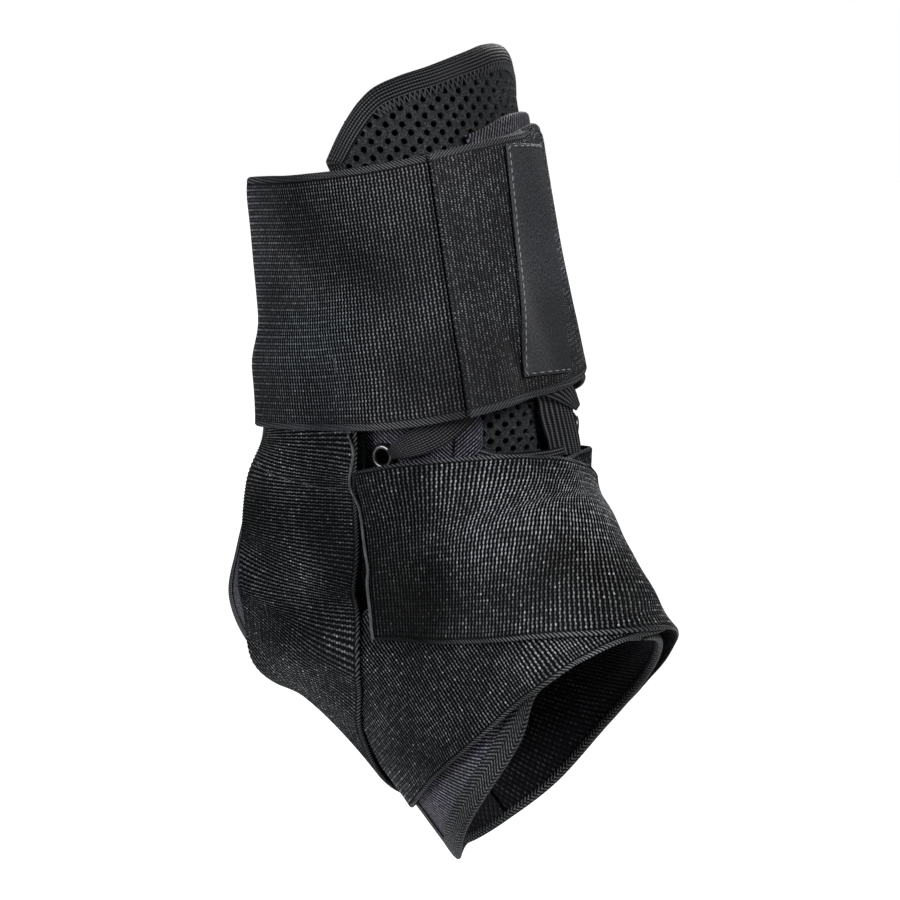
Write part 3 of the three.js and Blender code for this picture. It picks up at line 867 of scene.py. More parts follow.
@dataclass
class Cloth:
    """A cloth laid on the form: its places, the heights of its faces, and its flat distances."""

    form: BodyForm
    places: Places
    low: np.ndarray
    high: np.ndarray
    x: np.ndarray
    y: np.ndarray
    # Painted shade: a factor on the colour at each point of the cloth; 1 paints none.
    shade: np.ndarray | float = 1.0
    under: Places | None = None

    EDGE_SHARE, ROLL_WIDTH, RISE_FADES = 0.3, 0.6, 30.0

    @classmethod
    def laid(cls, form: BodyForm, coarse: Places, rest: np.ndarray, thickness: float,
             x: np.ndarray, y: np.ndarray) -> "Cloth":
        """Draw a laid piece finely, with its edges rolled over.

        Args:
            form: the form it lies on.
            coarse: the places where its height is known.
            rest: the height of its inner face at those places.
            thickness: the cloth's thickness.
            x: distances along it to draw.
            y: distances across it to draw.

        Returns:
            The cloth.
        """
        rows, columns = coarse.around.shape
        down, across = x / x[-1] * (rows - 1), y / y[-1] * (columns - 1)
        gx, gy = np.meshgrid(x, y, indexing="ij")
        edge = np.minimum(np.minimum(gx, x[-1] - gx), np.minimum(gy, y[-1] - gy))
        share = np.clip(edge / cls.ROLL_WIDTH, 0.0, 1.0)
        round_off = np.sqrt(1 - (1 - share) ** 2)
        half = thickness / 2 * (cls.EDGE_SHARE + (1 - cls.EDGE_SHARE) * round_off)
        middle = resample(rest, down, across) + thickness / 2
        return cls(form, coarse.resampled(down, across), middle - half, middle + half, gx, gy)

    def swell(self, height: np.ndarray | float, both: bool = True) -> "Cloth":
        """Raise the outer face by a height, and the inner face with it if both are to rise."""
        self.high = self.high + height
        if both:
            self.low = self.low + height
        return self

    def read(self, y: np.ndarray) -> Places:
        """The places at other distances across the cloth."""
        i = np.broadcast_to(np.arange(self.x.shape[0])[:, None], y.shape).astype(float)
        j = np.interp(y, self.y[0], np.arange(self.y.shape[1]))
        j = j + np.minimum(y, 0.0) / (self.y[0, len(ROLL)] - self.y[0, len(ROLL) - 1])
        return self.places.at(i, j)

    def spot(self, x: np.ndarray, y: np.ndarray) -> tuple[np.ndarray, np.ndarray]:
        """The grid's rows and columns at distances along and across the cloth."""
        return (np.interp(x, self.x[:, 0], np.arange(self.x.shape[0])),
                np.interp(y, self.y[0], np.arange(self.y.shape[1])))

    def round_corner(self, radius: float, first: bool) -> "Cloth":
        """Round a corner at the far end of the length.

        Args:
            radius: the corner's radius.
            first: whether it is on the first edge or on the last.

        Returns:
            The same cloth.
        """
        near = self.y if first else self.y[0, -1] - self.y
        across = np.maximum(self.x - self.x[-1, 0] + radius, 0.0) / radius
        down = np.maximum(radius - near, 0.0) / radius
        x = self.x - across * radius * (1 - np.sqrt(1 - down**2 / 2))
        near = near + down * radius * (1 - np.sqrt(1 - across**2 / 2))
        self.places = self.places.at(*self.spot(x, near if first else self.y[0, -1] - near))
        return self

    def curl(self, weight: np.ndarray, length: float, radius: float, rise: float) -> "Cloth":
        """Roll the first edge inwards.

        Args:
            weight: how much of the roll each point takes.
            length: how much cloth is rolled.
            radius: the roll's radius.
            rise: how far the cloth is pushed up before it rolls.

        Returns:
            The same cloth.
        """
        past = np.maximum(length - self.y, 0.0) * weight
        angle, half = past / radius, (self.high - self.low) / 2
        middle = (self.high + self.low) / 2 - radius * (1 - np.cos(angle))
        risen = rise * weight * (1 - smooth(self.y, 0.0, self.RISE_FADES))
        y = self.y + past - radius * np.sin(angle) - risen
        outer, inner = self.read(y - half * np.sin(angle)), self.read(y + half * np.sin(angle))
        self.low, self.high = middle - half * np.cos(angle), middle + half * np.cos(angle)
        self.places, self.under = outer, inner
        return self

    def piece(self, name: str, face: Finish, back: Finish, back_rows: int = 1) -> Piece:
        """Make the cloth a closed mesh.

        Args:
            name: the piece's name.
            face: the finish of its outer face and edges.
            back: the finish of its inner face.
            back_rows: rows of the outer face to one row of the inner face.

        Returns:
            The piece.
        """
        rows, columns = self.x.shape
        kept = np.unique(np.append(np.arange(0, rows, back_rows), rows - 1))
        surface = self.form.surface(self.places)
        outer = surface.point + surface.normal * self.high[..., None]
        inner = self.form.raised(self.under or self.places, self.low)[kept]
        faces = grid_faces(rows, columns)
        below = rows * columns
        backs = turned(grid_faces(len(kept), columns, below))
        walls = []
        for k in range(len(kept) - 1):
            a, b = int(kept[k]), int(kept[k + 1])
            left, right = below + k * columns, below + k * columns + columns - 1
            walls.append(tuple([i * columns for i in range(b, a - 1, -1)] + [left, left + columns]))
            walls.append(tuple([i * columns + columns - 1 for i in range(a, b + 1)]
                               + [right + columns, right]))
        last = below + (len(kept) - 1) * columns
        for j in range(columns - 1):
            walls.append((j, j + 1, below + j + 1, below + j))
            end = (rows - 1) * columns
            walls.append((end + j + 1, end + j, last + j, last + j + 1))
        every = faces + walls + backs
        down, across = outer[1, 0] - outer[0, 0], outer[0, 1] - outer[0, 0]
        if np.dot(np.cross(down, across), surface.normal[0, 0]) < 0:
            every = turned(every)
        points = np.concatenate([outer.reshape(-1, 3), inner.reshape(-1, 3)])
        x, y = (np.concatenate([g.ravel(), g[kept].ravel()]) for g in (self.x, self.y))
        edge, inner_ring = np.zeros((rows, columns)), len(ROLL) - 1
        edge[inner_ring:-inner_ring, inner_ring:-inner_ring] = 1.0
        upper = np.concatenate([edge.ravel(), np.zeros(len(kept) * columns)])
        finish_of = np.array([0] * (len(faces) + len(walls)) + [1] * len(backs))
        shade = np.broadcast_to(self.shade, self.x.shape)
        mesh = build_mesh(name, points, every, np.stack([x, y], 1), [face, back], finish_of, {
            "along_cloth": x, "outer_face": upper, FROM_SIDE: np.minimum(y, self.y[0, -1] - y),
            PAINTED_SHADE: np.concatenate([shade.ravel(), shade[kept].ravel()])})
        return new_piece(name, mesh)


def tube(name: str, rings: np.ndarray, cloth: np.ndarray, finish: Finish) -> Piece:
    """Make a closed tube through rings of points.

    Args:
        name: the piece's name.
        rings: points in millimetres, by ring and place round it.
        cloth: distance along and across the cloth at each point.
        finish: the tube's finish.

    Returns:
        The piece.
    """
    count, sides = rings.shape[:2]
    faces = grid_faces(count, sides, around=True)
    faces += [tuple(range(sides)), tuple(range((count - 1) * sides, count * sides))[::-1]]
    forward = rings[1].mean(0) - rings[0].mean(0)
    spokes = rings[0] - rings[0].mean(0)
    turn = sum(np.cross(spokes[k], spokes[(k + 1) % sides]) for k in range(sides))
    if np.dot(turn, forward) > 0:
        faces = turned(faces)
    mesh = build_mesh(name, rings.reshape(-1, 3), faces, cloth.reshape(-1, 2), [finish])
    return new_piece(name, mesh)


class Growth:
    """A tree of geometry nodes with named inputs, and what applies it to a piece."""

    def __init__(self, name: str, inputs: Sequence[tuple[str, str, Any]]) -> None:
        """Start a tree.

        Args:
            name: the tree's name.
            inputs: name, socket type and default of each input after the geometry.
        """
        self.tree = bpy.data.node_groups.new(name, "GeometryNodeTree")
        face = self.tree.interface
        face.new_socket("Geometry", in_out="INPUT", socket_type="NodeSocketGeometry")
        face.new_socket("Geometry", in_out="OUTPUT", socket_type="NodeSocketGeometry")
        self.sockets = {}
        for label, kind, default in inputs:
            socket = face.new_socket(label, in_out="INPUT", socket_type=kind)
            if default is not None:
                socket.default_value = default
            self.sockets[label] = socket.identifier
        self.n = Nodes(self.tree)
        self.given = self.n.add("NodeGroupInput").outputs

    def named(self, name: str, kind: str) -> bpy.types.NodeSocket:
        """Read a mark that is kept on the geometry."""
        node = self.n.add("GeometryNodeInputNamedAttribute", {"Name": name}, data_type=kind)
        return node.outputs[0]

    def finish(self, geometry: bpy.types.NodeSocket, selection: Any = True) -> "Growth":
        """End the tree: instances made real, and the finish set."""
        real = self.n.add("GeometryNodeRealizeInstances", {0: geometry})
        dressed = self.n.add("GeometryNodeSetMaterial", {
            "Geometry": real.outputs[0], "Selection": selection, "Material": self.given["Finish"]})
        self.n.add("NodeGroupOutput", {0: dressed.outputs[0]})
        return self

    def apply(self, piece: Piece, values: dict[str, Any]) -> Piece:
        """Run the tree on a piece and keep the result as its plain mesh.

        Args:
            piece: the object to work on.
            values: what each named input is given.

        Returns:
            The same object.
        """
        modifier = piece.modifiers.new(self.tree.name, "NODES")
        modifier.node_group = self.tree
        for label, value in values.items():
            modifier[self.sockets[label]] = value
        depsgraph = bpy.context.evaluated_depsgraph_get()
        grown = bpy.data.meshes.new_from_object(
            piece.evaluated_get(depsgraph), preserve_all_data_layers=True, depsgraph=depsgraph)
        piece.modifiers.remove(modifier)
        old, name = piece.data, piece.data.name
        piece.data = grown
        bpy.data.meshes.remove(old)
        grown.name = name
        return piece


class Ribbing(Growth):
    """Raises ribs across the length of a cloth's outer face."""

    def __init__(self) -> None:
        """Build the tree."""
        super().__init__("ribs across a cloth", [
            ("Pitch", "NodeSocketFloat", 1.5), ("Height", "NodeSocketFloat", 0.00015),
            ("Finish", "NodeSocketMaterial", None)])
        n = self.n
        pitches = n.math("DIVIDE", self.named("along_cloth", "FLOAT"), self.given["Pitch"])
        crest = n.wave(pitches, 1.0)
        face = self.named("outer_face", "FLOAT")
        rise = n.math("MULTIPLY", n.math("MULTIPLY", crest, face), self.given["Height"])
        away = n.add("ShaderNodeVectorMath", {0: n.add("GeometryNodeInputNormal").outputs[0],
                                              "Scale": rise}, operation="SCALE")
        moved = n.add("GeometryNodeSetPosition", {"Geometry": self.given["Geometry"],
                                                  "Offset": away.outputs[0]})
        on_face = n.add("FunctionNodeCompare", {0: face, 1: 0.5}, operation="GREATER_THAN")
        self.finish(moved.outputs[0], on_face.outputs[0])


class Seamwork(Growth):
    """Sets a stitch at each point of a seam, along the seam and flat on the cloth."""

    def __init__(self) -> None:
        """Build the tree."""
        super().__init__("stitches on a seam", [
            ("Stitch", "NodeSocketObject", None), ("Finish", "NodeSocketMaterial", None)])
        n = self.n
        turn = n.add("FunctionNodeAxesToRotation", {
            0: self.named("seam_way", "FLOAT_VECTOR"), 1: self.named("cloth_up", "FLOAT_VECTOR")},
            primary_axis="X", secondary_axis="Z")
        stitch = n.add("GeometryNodeObjectInfo", {"Object": self.given["Stitch"]})
        size = n.add("ShaderNodeCombineXYZ", {0: self.named("stretch", "FLOAT"), 1: 1.0, 2: 1.0})
        placed = n.add("GeometryNodeInstanceOnPoints", {
            "Points": self.given["Geometry"], "Instance": stitch.outputs["Geometry"],
            "Rotation": turn.outputs[0], "Scale": size.outputs[0]})
        self.finish(placed.outputs[0])


class Openwork(Growth):
    """Fills a net with tiles, each with one hole, and welds them."""

    def __init__(self) -> None:
        """Build the tree."""
        super().__init__("holes of a net", [
            ("Tile", "NodeSocketObject", None), ("Weld", "NodeSocketFloat", 0.00002),
            ("Finish", "NodeSocketMaterial", None)])
        n = self.n
        tile = n.add("GeometryNodeObjectInfo", {"Object": self.given["Tile"]})
        placed = n.add("GeometryNodeInstanceOnPoints", {
            "Points": self.given["Geometry"], "Instance": tile.outputs["Geometry"]})
        real = n.add("GeometryNodeRealizeInstances", {0: placed.outputs[0]})
        welded = n.add("GeometryNodeMergeByDistance", {"Geometry": real.outputs[0],
                                                       "Distance": self.given["Weld"]})
        self.finish(welded.outputs[0])


def on_face(cloth: Cloth, x: np.ndarray, y: np.ndarray,
            lift: float) -> tuple[np.ndarray, np.ndarray]:
    """Points over a cloth's outer face.

    Args:
        cloth: the cloth.
        x: distances along it.
        y: distances across it.
        lift: height above its face.

    Returns:
        The points and the form's normals there.
    """
    i, j = cloth.spot(x, y)
    surface = cloth.form.surface(cloth.places.at(i, j))
    height = between(cloth.high, i, j) + lift
    return surface.point + surface.normal * height[:, None], surface.normal


def nearest(cloth: Cloth, around: float, along: float) -> tuple[float, float]:
    """Distances along and across a cloth at the point nearest to a place."""
    down = DEGREES_TO_A_SECTION * (cloth.places.along - along)
    off = (cloth.places.around - around) ** 2 + down**2
    i, j = np.unravel_index(int(off.argmin()), off.shape)
    return float(cloth.x[i, 0]), float(cloth.y[0, j])


def steps_along(corners: Sequence[tuple[float, float]], pitch: float) -> np.ndarray:
    """Even steps along a line through corners."""
    line = np.array(corners, float)
    lengths = lengths_along(line)
    at = np.arange(pitch / 2, lengths[-1], pitch)
    return np.stack([np.interp(at, lengths, line[:, k]) for k in range(2)], axis=1)


@dataclass
class Workshop:
    """The form, what is laid on it so far, and the trees that the pieces share."""

    form: BodyForm
    layers: Layers
    ribbing: Ribbing
    seamwork: Seamwork
    openwork: Openwork
    stitch: Piece

    STITCH_LENGTH = 1.9
    STITCH_RADIUS = 0.24
    STITCH_SIDES = 5
    STITCH_STATIONS = ((-1.0, 0.3, -0.8), (-0.7, 0.9, -0.1), (0.0, 1.0, 0.2), (0.7, 0.9, -0.1),
                       (1.0, 0.3, -0.8))

    @classmethod
    def opened(cls) -> "Workshop":
        """Set out the form, the trees and the stitch."""
        form = BodyForm()
        shop = cls(form, Layers(form), Ribbing(), Seamwork(), Openwork(), None)
        shop.stitch = shop.make_stitch()
        return shop

    def make_stitch(self) -> Piece:
        """One stitch: a short length of thread that dips into the cloth at both ends."""
        half = self.STITCH_LENGTH / 2
        turn = np.arange(self.STITCH_SIDES) / self.STITCH_SIDES * 2 * math.pi
        rings = np.array([[(share * half, math.cos(a) * size * self.STITCH_RADIUS,
                            (math.sin(a) * size + dip) * self.STITCH_RADIUS) for a in turn]
                          for share, size, dip in self.STITCH_STATIONS])
        cloth = rings[..., :2].copy()
        stitch = tube("stitch", rings, cloth, THREAD)
        stitch.hide_render = True
        return stitch

    def sew(self, name: str, points: np.ndarray, ups: np.ndarray, thread: Finish,
            joined: bool = False) -> Piece:
        """Sew a line of stitches.

        Args:
            name: the seam's name.
            points: where each stitch is, in millimetres.
            ups: the way out of the cloth at each stitch.
            thread: the thread's finish.
            joined: whether a stitch runs from each point to the next, as in a zigzag.

        Returns:
            The stitches, as one piece.
        """
        ways, stretch = np.gradient(points, axis=0), np.ones(len(points))
        if joined:
            ways, points, ups = np.diff(points, axis=0), (points[1:] + points[:-1]) / 2, ups[1:]
            stretch = np.linalg.norm(ways, axis=1) / self.STITCH_LENGTH
        mesh = bpy.data.meshes.new(name)
        mesh.from_pydata((points * MM).tolist(), [], [])
        for key, values in (("stretch", stretch), ("seam_way", unit(ways)),
                            ("cloth_up", unit(ups))):
            keep_mark(mesh, key, values)
        seam = new_piece(name, mesh)
        return self.seamwork.apply(seam, {"Stitch": self.stitch, "Finish": thread.material()})

    def sew_on(self, name: str, cloth: Cloth, corners: Sequence[tuple[float, float]], pitch: float,
               thread: Finish, zigzag: float = 0.0) -> Piece:
        """Sew along a line drawn on a cloth's face.

        Args:
            name: the seam's name.
            cloth: the cloth.
            corners: the line's corners, as distances along and across the cloth.
            pitch: spacing of the stitches.
            thread: the thread's finish.
            zigzag: how far every second stitch steps aside along the cloth.

        Returns:
            The stitches, as one piece.
        """
        at = steps_along(corners, pitch)
        at[::2, 0] += zigzag
        points, ups = on_face(cloth, at[:, 0], at[:, 1], self.STITCH_RADIUS)
        return self.sew(name, points, ups, thread, zigzag != 0.0)

    def lay_band(self, rows: Rows, width: float, across: Across, thickness: float, x_cell: float,
                 y_cell: float, coarse_cell: float = 3.0) -> tuple[Cloth, Footprint]:
        """Lay a band on what is there.

        Args:
            rows: around, along, share of the width and any lean at its path's points.
            width: the band's width.
            across: how the width is laid out.
            thickness: the cloth's thickness.
            x_cell: spacing of its faces along it.
            y_cell: spacing of its faces across it.
            coarse_cell: spacing of the places where its height is measured.

        Returns:
            The cloth and its footprint.
        """
        band = self.form.band(rows, width, coarse_cell, across)
        x, y = edge_spaced(band.length, x_cell), edge_spaced(width, y_cell)
        cloth = Cloth.laid(self.form, band.places, self.layers.rest(band.places), thickness, x, y)
        return cloth, self.layers.footprint(band.places, thickness)

    def lay_panel(self, places: Places, thickness: float, cell: float) -> tuple[Cloth, Footprint]:
        """Lay a panel of cloth, given its grid of places, on what is there."""
        points = self.form.raised(places, SURFACE_OFFSET)
        length = float(np.linalg.norm(np.diff(points, axis=0), axis=2).sum(axis=0).mean())
        width = float(np.linalg.norm(np.diff(points, axis=1), axis=2).sum(axis=1).mean())
        x, y = edge_spaced(length, cell), edge_spaced(width, cell)
        cloth = Cloth.laid(self.form, places, self.layers.rest(places), thickness, x, y)
        return cloth, self.layers.footprint(places, thickness)

    def wrap(self, name: str, edge: Places, inwards: np.ndarray, profile: Rows, base: np.ndarray,
             finish: Finish) -> Piece:
        """Wrap a binding round an edge.

        Args:
            name: the piece's name.
            edge: places along the edge.
            inwards: the way from the edge into the bound cloth.
            profile: distance inwards and height of the binding's outline, round it once.
            base: the height at each place of the edge that the profile's heights start from.
            finish: the binding's finish.

        Returns:
            The piece.
        """
        spots = [self.form.walk(edge, inwards, distance) for distance, _ in profile]
        loops = np.stack([self.form.raised(spot, base + height)
                          for spot, (_, height) in zip(spots, profile)], axis=1)
        along, girth = lengths_along(loops[:, 0]), lengths_along(np.array(profile, float))
        cloth = np.stack(np.meshgrid(along, girth, indexing="ij"), axis=-1)
        return tube(name, loops, cloth, finish)


def keep(piece: Piece, slot: str, *nodes: str) -> Piece:
    """Join a finished piece to the part: hide the solids that it stands for, and attach it to its
    body.
    """
    if nodes:
        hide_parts(*nodes)
    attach(piece, "root")
    LOG.info("%s: %d faces", piece.name, len(piece.data.polygons))
    return piece


def straight(start: float, end: float, share: np.ndarray) -> np.ndarray:
    """Values between a start and an end."""
    return start + (end - start) * share


def shares(rows: int, columns: int) -> tuple[np.ndarray, np.ndarray]:
    """Shares down the rows and across the columns of a grid."""
    down, across = np.meshgrid(np.linspace(0, 1, rows), np.linspace(0, 1, columns), indexing="ij")
    return down, across


@dataclass
class Tongue:
    """The padded tongue: a foam leaf under spacer mesh, with a knit binding round its free edge."""

    shop: Workshop
    thickness: float = 4.0
    net_depth: float = 1.3
    net_end: float = 4.3
    hole_pitch: float = 4.9
    row_pitch: float = 2.65
    hole_width: float = 2.1
    hole_height: float = 2.25
    edge_run: float = 4.0
    along_end: float = 6.4

    TOP = ((0, 1.18), (0.04, 0.80), (0.10, 0.50), (0.19, 0.29), (0.28, 0.19), (0.40, 0.21),
           (0.50, 0.31), (0.65, 0.45), (0.75, 0.51), (0.835, 0.59), (0.887, 0.72), (0.93, 0.88),
           (0.966, 1.03), (1, 1.18))
    SIDES = ((1.2, -60, 86), (2.0, -48, 78), (3.2, -32, 60), (4.0, -26, 54), (5.2, -20, 36),
             (6.4, -16, 22))
    BINDING = ((7.4, 4.45), (7.2, 4.95), (6.6, 5.2), (5.2, 5.3), (3.8, 5.2), (2.5, 4.9),
               (1.3, 4.25), (0.5, 3.3), (0.15, 2.4), (0.45, 1.4), (1.3, 0.6), (2.6, 0.15),
               (4.5, 0.0), (6.4, 0.05), (6.6, 0.4), (6.4, 0.7), (4.5, 0.7), (2.9, 0.9),
               (2.0, 1.5), (1.5, 2.4), (1.9, 3.3), (2.8, 4.0), (4.2, 4.38), (6.0, 4.42))
    PAD_INSET, NET_INSET, ZIGZAG = 2.2, 3.4, (6.6, 9.6)
    RIM_STRIP, WHOLE_INSET = (0.01, 6.0), 6.6
    HOLE_TURNS = (0, 38, 90, 142, 180, 218, 270, 322)
    LIP, FOOT, FLAT = ((1.25, 0.3), (1.0, 0.1)), 0.92, -0.25
    NET_AT, NET_STRETCH, NET_ROWS, NET_COLUMNS = (20.0, 1.0), 1.1, 80, (-20, 24)
    SOLVER_STEPS, TINY = 12, 0.01
    PAD_FALL, PAD_FALL_RUN, BINDING_SUNK = 0.5, 9.0, 1.2

    def side(self, across: np.ndarray, along: np.ndarray) -> np.ndarray:
        """Around at a share of the way across."""
        keys, inner, outer = zip(*self.SIDES)
        left, right = curve(keys, inner, along), curve(keys, outer, along)
        return left + (right - left) * across

    def top(self, across: np.ndarray) -> Places:
        """Places on the free top edge, and on down both sides past its ends."""
        on_edge = np.clip(across, 0.0, 1.0)
        along = curve(*zip(*self.TOP), on_edge) + self.edge_run * np.abs(across - on_edge)
        return Places(self.side(on_edge, along), along)

    def inwards(self, across: np.ndarray) -> np.ndarray:
        """The way from the top edge into the tongue."""
        form, step = self.shop.form, 0.02
        ahead = form.raised(self.top(across + step), 0.0)
        behind = form.raised(self.top(across - step), 0.0)
        return np.cross(form.surface(self.top(across)).normal, ahead - behind)

    def leaf(self, rows: int, columns: int, inset: float, end: float) -> Places:
        """A grid over the leaf, from inside its top edge down to an end."""
        across = np.linspace(0, 1, columns)
        edge = self.shop.form.walk(self.top(across), self.inwards(across), inset)
        down = np.linspace(0, 1, rows)[:, None]
        along = edge.along + (end - edge.along) * down
        shift = self.side(across, along) - self.side(across, edge.along)
        return Places(edge.around + shift, along)

    def pad(self) -> Piece:
        """The foam leaf under the mesh, its outer face painted near black as the shadow seen
        through the mesh's holes.
        """
        places = self.leaf(64, 40, self.PAD_INSET, self.along_end)
        cloth, _ = self.shop.lay_panel(places, self.thickness - self.net_depth, 2.5)
        edge = np.minimum(cloth.y, cloth.y[0, -1] - cloth.y)
        cloth.swell(-self.PAD_FALL * (1 - smooth(edge, 0.0, self.PAD_FALL_RUN)), both=False)
        return cloth.piece("tongue_pad", PAINTED_SHADOW_FLOOR, LINING)

    def tile(self) -> Piece:
        """One tile of the mesh: a flat of yarn with an oval hole whose lip is raised."""
        w, h = self.hole_pitch / 2, self.row_pitch / 2
        outer = [(w, 0), (w, h), (0, h), (-w, h), (-w, 0), (-w, -h), (0, -h), (w, -h)]
        turn = np.radians(self.HOLE_TURNS)
        a, b = self.hole_width / 2, self.hole_height / 2
        rings = [[(x, y, self.FLAT) for x, y in outer]]
        for size, height in (*self.LIP, (self.FOOT, -self.net_depth)):
            rings.append([(math.cos(t) * a * size, math.sin(t) * b * size, height) for t in turn])
        faces = [(f[0], *f[:0:-1]) for f in grid_faces(len(rings), len(turn), around=True)]
        points = np.array(rings).reshape(-1, 3)
        mesh = bpy.data.meshes.new("net tile")
        mesh.from_pydata(points.tolist(), [], faces)
        mesh.polygons.foreach_set("use_smooth", np.ones(len(mesh.polygons), bool))
        return new_piece("net tile", mesh)

    def along_at(self, around: np.ndarray, z: np.ndarray) -> np.ndarray:
        """Solve for the along at which the form has a height z."""
        form = self.shop.form
        along = np.full(around.shape, 1.5)
        for _ in range(self.SOLVER_STEPS):
            here = form.point(around, along)[..., 2]
            slope = (form.point(around, along + self.TINY)[..., 2] - here) / self.TINY
            along = np.clip(along - (here - z) / slope, -0.5, 5.5)
        return along

    def net(self) -> Piece:
        """The spacer mesh over the foam, cut from a flat lattice of holes."""
        form = self.shop.form
        reach = form.surface(Places(*map(np.array, self.NET_AT))).by_around
        degrees = 1.0 / (np.linalg.norm(reach) * self.NET_STRETCH)
        top = float(form.point(np.array(0.0), np.array(0.0))[2])
        outline = self.leaf(40, 40, self.NET_INSET, self.net_end).border()
        centres = np.array([((column + 0.5 * (row % 2)) * self.hole_pitch, row * self.row_pitch,
                             0.0) for row in range(self.NET_ROWS)
                            for column in range(*self.NET_COLUMNS)])
        around = centres[:, 0] * degrees
        along = self.along_at(around, top - centres[:, 1])
        kept = centres[Layers.inside(around, along, outline.pairs())]
        points = bpy.data.meshes.new("tongue_net")
        points.from_pydata(kept.tolist(), [], [])
        net = new_piece("tongue_net", points)
        tile = self.tile()
        self.shop.openwork.apply(net, {"Tile": tile, "Weld": 0.03, "Finish": NET.material()})
        bpy.data.objects.remove(tile)
        flat = np.zeros(len(net.data.vertices) * 3)
        net.data.vertices.foreach_get("co", flat)
        flat = flat.reshape(-1, 3)
        u = flat[:, 0] * degrees
        places = Places(u, self.along_at(u, top - flat[:, 1]))
        height = SKIN_GAP + self.thickness + flat[:, 2]
        solid = form.raised(places, height) * MM
        net.data.vertices.foreach_set("co", solid.astype(np.float32).ravel())
        map_cloth(net.data, flat[:, :2])
        for key, value in ((PAINTED_SHADE, 1.0), (FROM_SIDE, FAR_FROM_SIDE)):
            keep_mark(net.data, key, np.full(len(flat), value))
        net.data.flip_normals()
        net.data.update()
        return net

    def binding(self) -> Piece:
        """The knit binding round the free edge."""
        across = np.linspace(-0.08, 1.08, 190)
        sunk = -self.BINDING_SUNK * smooth(np.abs(across - 0.5), 0.5, 0.54)
        return self.shop.wrap("tongue_edge_binding", self.top(across), self.inwards(across),
                              self.BINDING, sunk, KNIT)

    def zigzag(self) -> Piece:
        """The zigzag seam over the binding's inner edge."""
        across = np.linspace(0.06, 0.88, 96)
        odd = np.arange(len(across)) % 2
        spots = self.shop.form.walk(self.top(across), self.inwards(across),
                                    np.where(odd, *self.ZIGZAG))
        height = SKIN_GAP + self.thickness + np.where(odd, 1.1, 0.35)
        points = self.shop.form.raised(spots, height)
        return self.shop.sew("tongue_zigzag", points, self.shop.form.surface(spots).normal,
                             DARK_THREAD, joined=True)

    def dress(self) -> None:
        """Build the tongue's pieces and join them to the part."""
        keep(self.pad(), "spacer_mesh", "tongue")
        keep(self.net(), "spacer_mesh")
        keep(self.binding(), "knit_binding", "tongue_binding")
        keep(self.zigzag(), "knit_binding")
        layers, across = self.shop.layers, np.linspace(0, 1, 60)
        edge, inwards = self.top(across), self.inwards(across)
        rim = Places.stacked([self.shop.form.walk(edge, inwards, d) for d in self.RIM_STRIP])
        whole = self.leaf(30, 30, self.WHOLE_INSET, self.along_end)
        layers.add(layers.footprint(whole, self.thickness), layers.footprint(rim, self.thickness))


@dataclass
class Boot:
    """The boot: an outer, an inner and a heel panel, open along the lacing gap."""

    shop: Workshop
    thickness: float = 2.6
    heel_side: float = 150.0
    top: float = 1.3
    rim: float = 9.8
    rim_thinning: float = 1.5

    LACING = ((1.0, 27, 58), (2.2, 12, 46), (3.3, -4, 34), (4.0, -5, 33), (5.0, -5, 22),
              (6.0, -4, 11), (7.0, -2, 3), (7.6, 0, 0), (10, 0, 0))
    EDGES = ((-180, 1.35, 9.85), (-150, 1.35, 9.81), (-120, 1.35, 9.78), (-90, 1.32, 9.68),
             (-60, 1.20, 9.60), (-30, 1.02, 9.52), (-4, 1.05, 9.55), (13, 1.16, 9.42),
             (25, 1.22, 9.36), (60, 1.33, 9.55), (75, 1.35, 9.86), (90, 1.35, 9.98),
             (120, 1.35, 10.02), (150, 1.35, 10.02), (180, 1.35, 9.85))
    THIN_FROM, THIN_TO = 11.0, 2.0

    def lacing(self, column: int, along: np.ndarray) -> np.ndarray:
        """Around of a panel's front edge: column 1 is the inner panel's, 2 the outer panel's."""
        rows = list(zip(*self.LACING))
        return curve(rows[0], rows[column], along)

    def down(self, around: np.ndarray, share: np.ndarray) -> Places:
        """The place at a share of the way from the boot's top edge to its rim."""
        turned = np.where(around > 180, around - TURN, around)
        keys, top, rim = zip(*self.EDGES)
        high, low = curve(keys, top, turned), curve(keys, rim, turned)
        return Places(around, high + (low - high) * share)

    def panel(self, column: int, side: float, rows: int = 90, columns: int = 44) -> Places:
        """A side panel, from its front edge to the heel panel."""
        down, across = shares(rows, columns)
        along = straight(self.top, self.rim, down)
        reach = self.shop.form.surface(Places(np.full(down.shape, side), along)).by_around
        seam = math.copysign(SEAM / 2, side) / np.linalg.norm(reach, axis=-1)
        front = self.lacing(column, along) + seam
        return self.down(front + (side - seam - front) * across, down)

    def heel(self, rows: int = 90, columns: int = 24) -> Places:
        """The heel panel, between the two side panels."""
        down, across = shares(rows, columns)
        along = straight(self.top, self.rim, down)
        reach = self.shop.form.surface(Places(np.full(down.shape, self.heel_side), along)).by_around
        side = self.heel_side + SEAM / 2 / np.linalg.norm(reach, axis=-1)
        return self.down(side + (TURN - 2 * side) * across, down)

    def dress(self) -> None:
        """Build the panels and join them to the part."""
        laid = []
        for name, node, places, finish, slot in (
                ("boot_outer_cloth", "boot_panel_outer", self.panel(2, self.heel_side), BOOT_TWILL,
                 "boot_fabric"),
                ("boot_inner_cloth", "boot_panel_inner", self.panel(1, -self.heel_side), BOOT_TWILL,
                 "boot_fabric"),
                ("heel_cloth", "heel_panel", self.heel(), HEEL_CLOTH, "heel_fabric")):
            cloth, footprint = self.shop.lay_panel(places, self.thickness, 2.0)
            cloth.swell(0.25 * unevenness(cloth.x, cloth.y, 17.0, len(laid)))
            end = cloth.x[-1, 0]
            cloth.low += self.rim_thinning * smooth(cloth.x, end - self.THIN_FROM,
                                                    end - self.THIN_TO)
            keep(cloth.piece(name, finish, LINING), slot, node)
            laid.append(footprint)
        self.shop.layers.add(*laid)


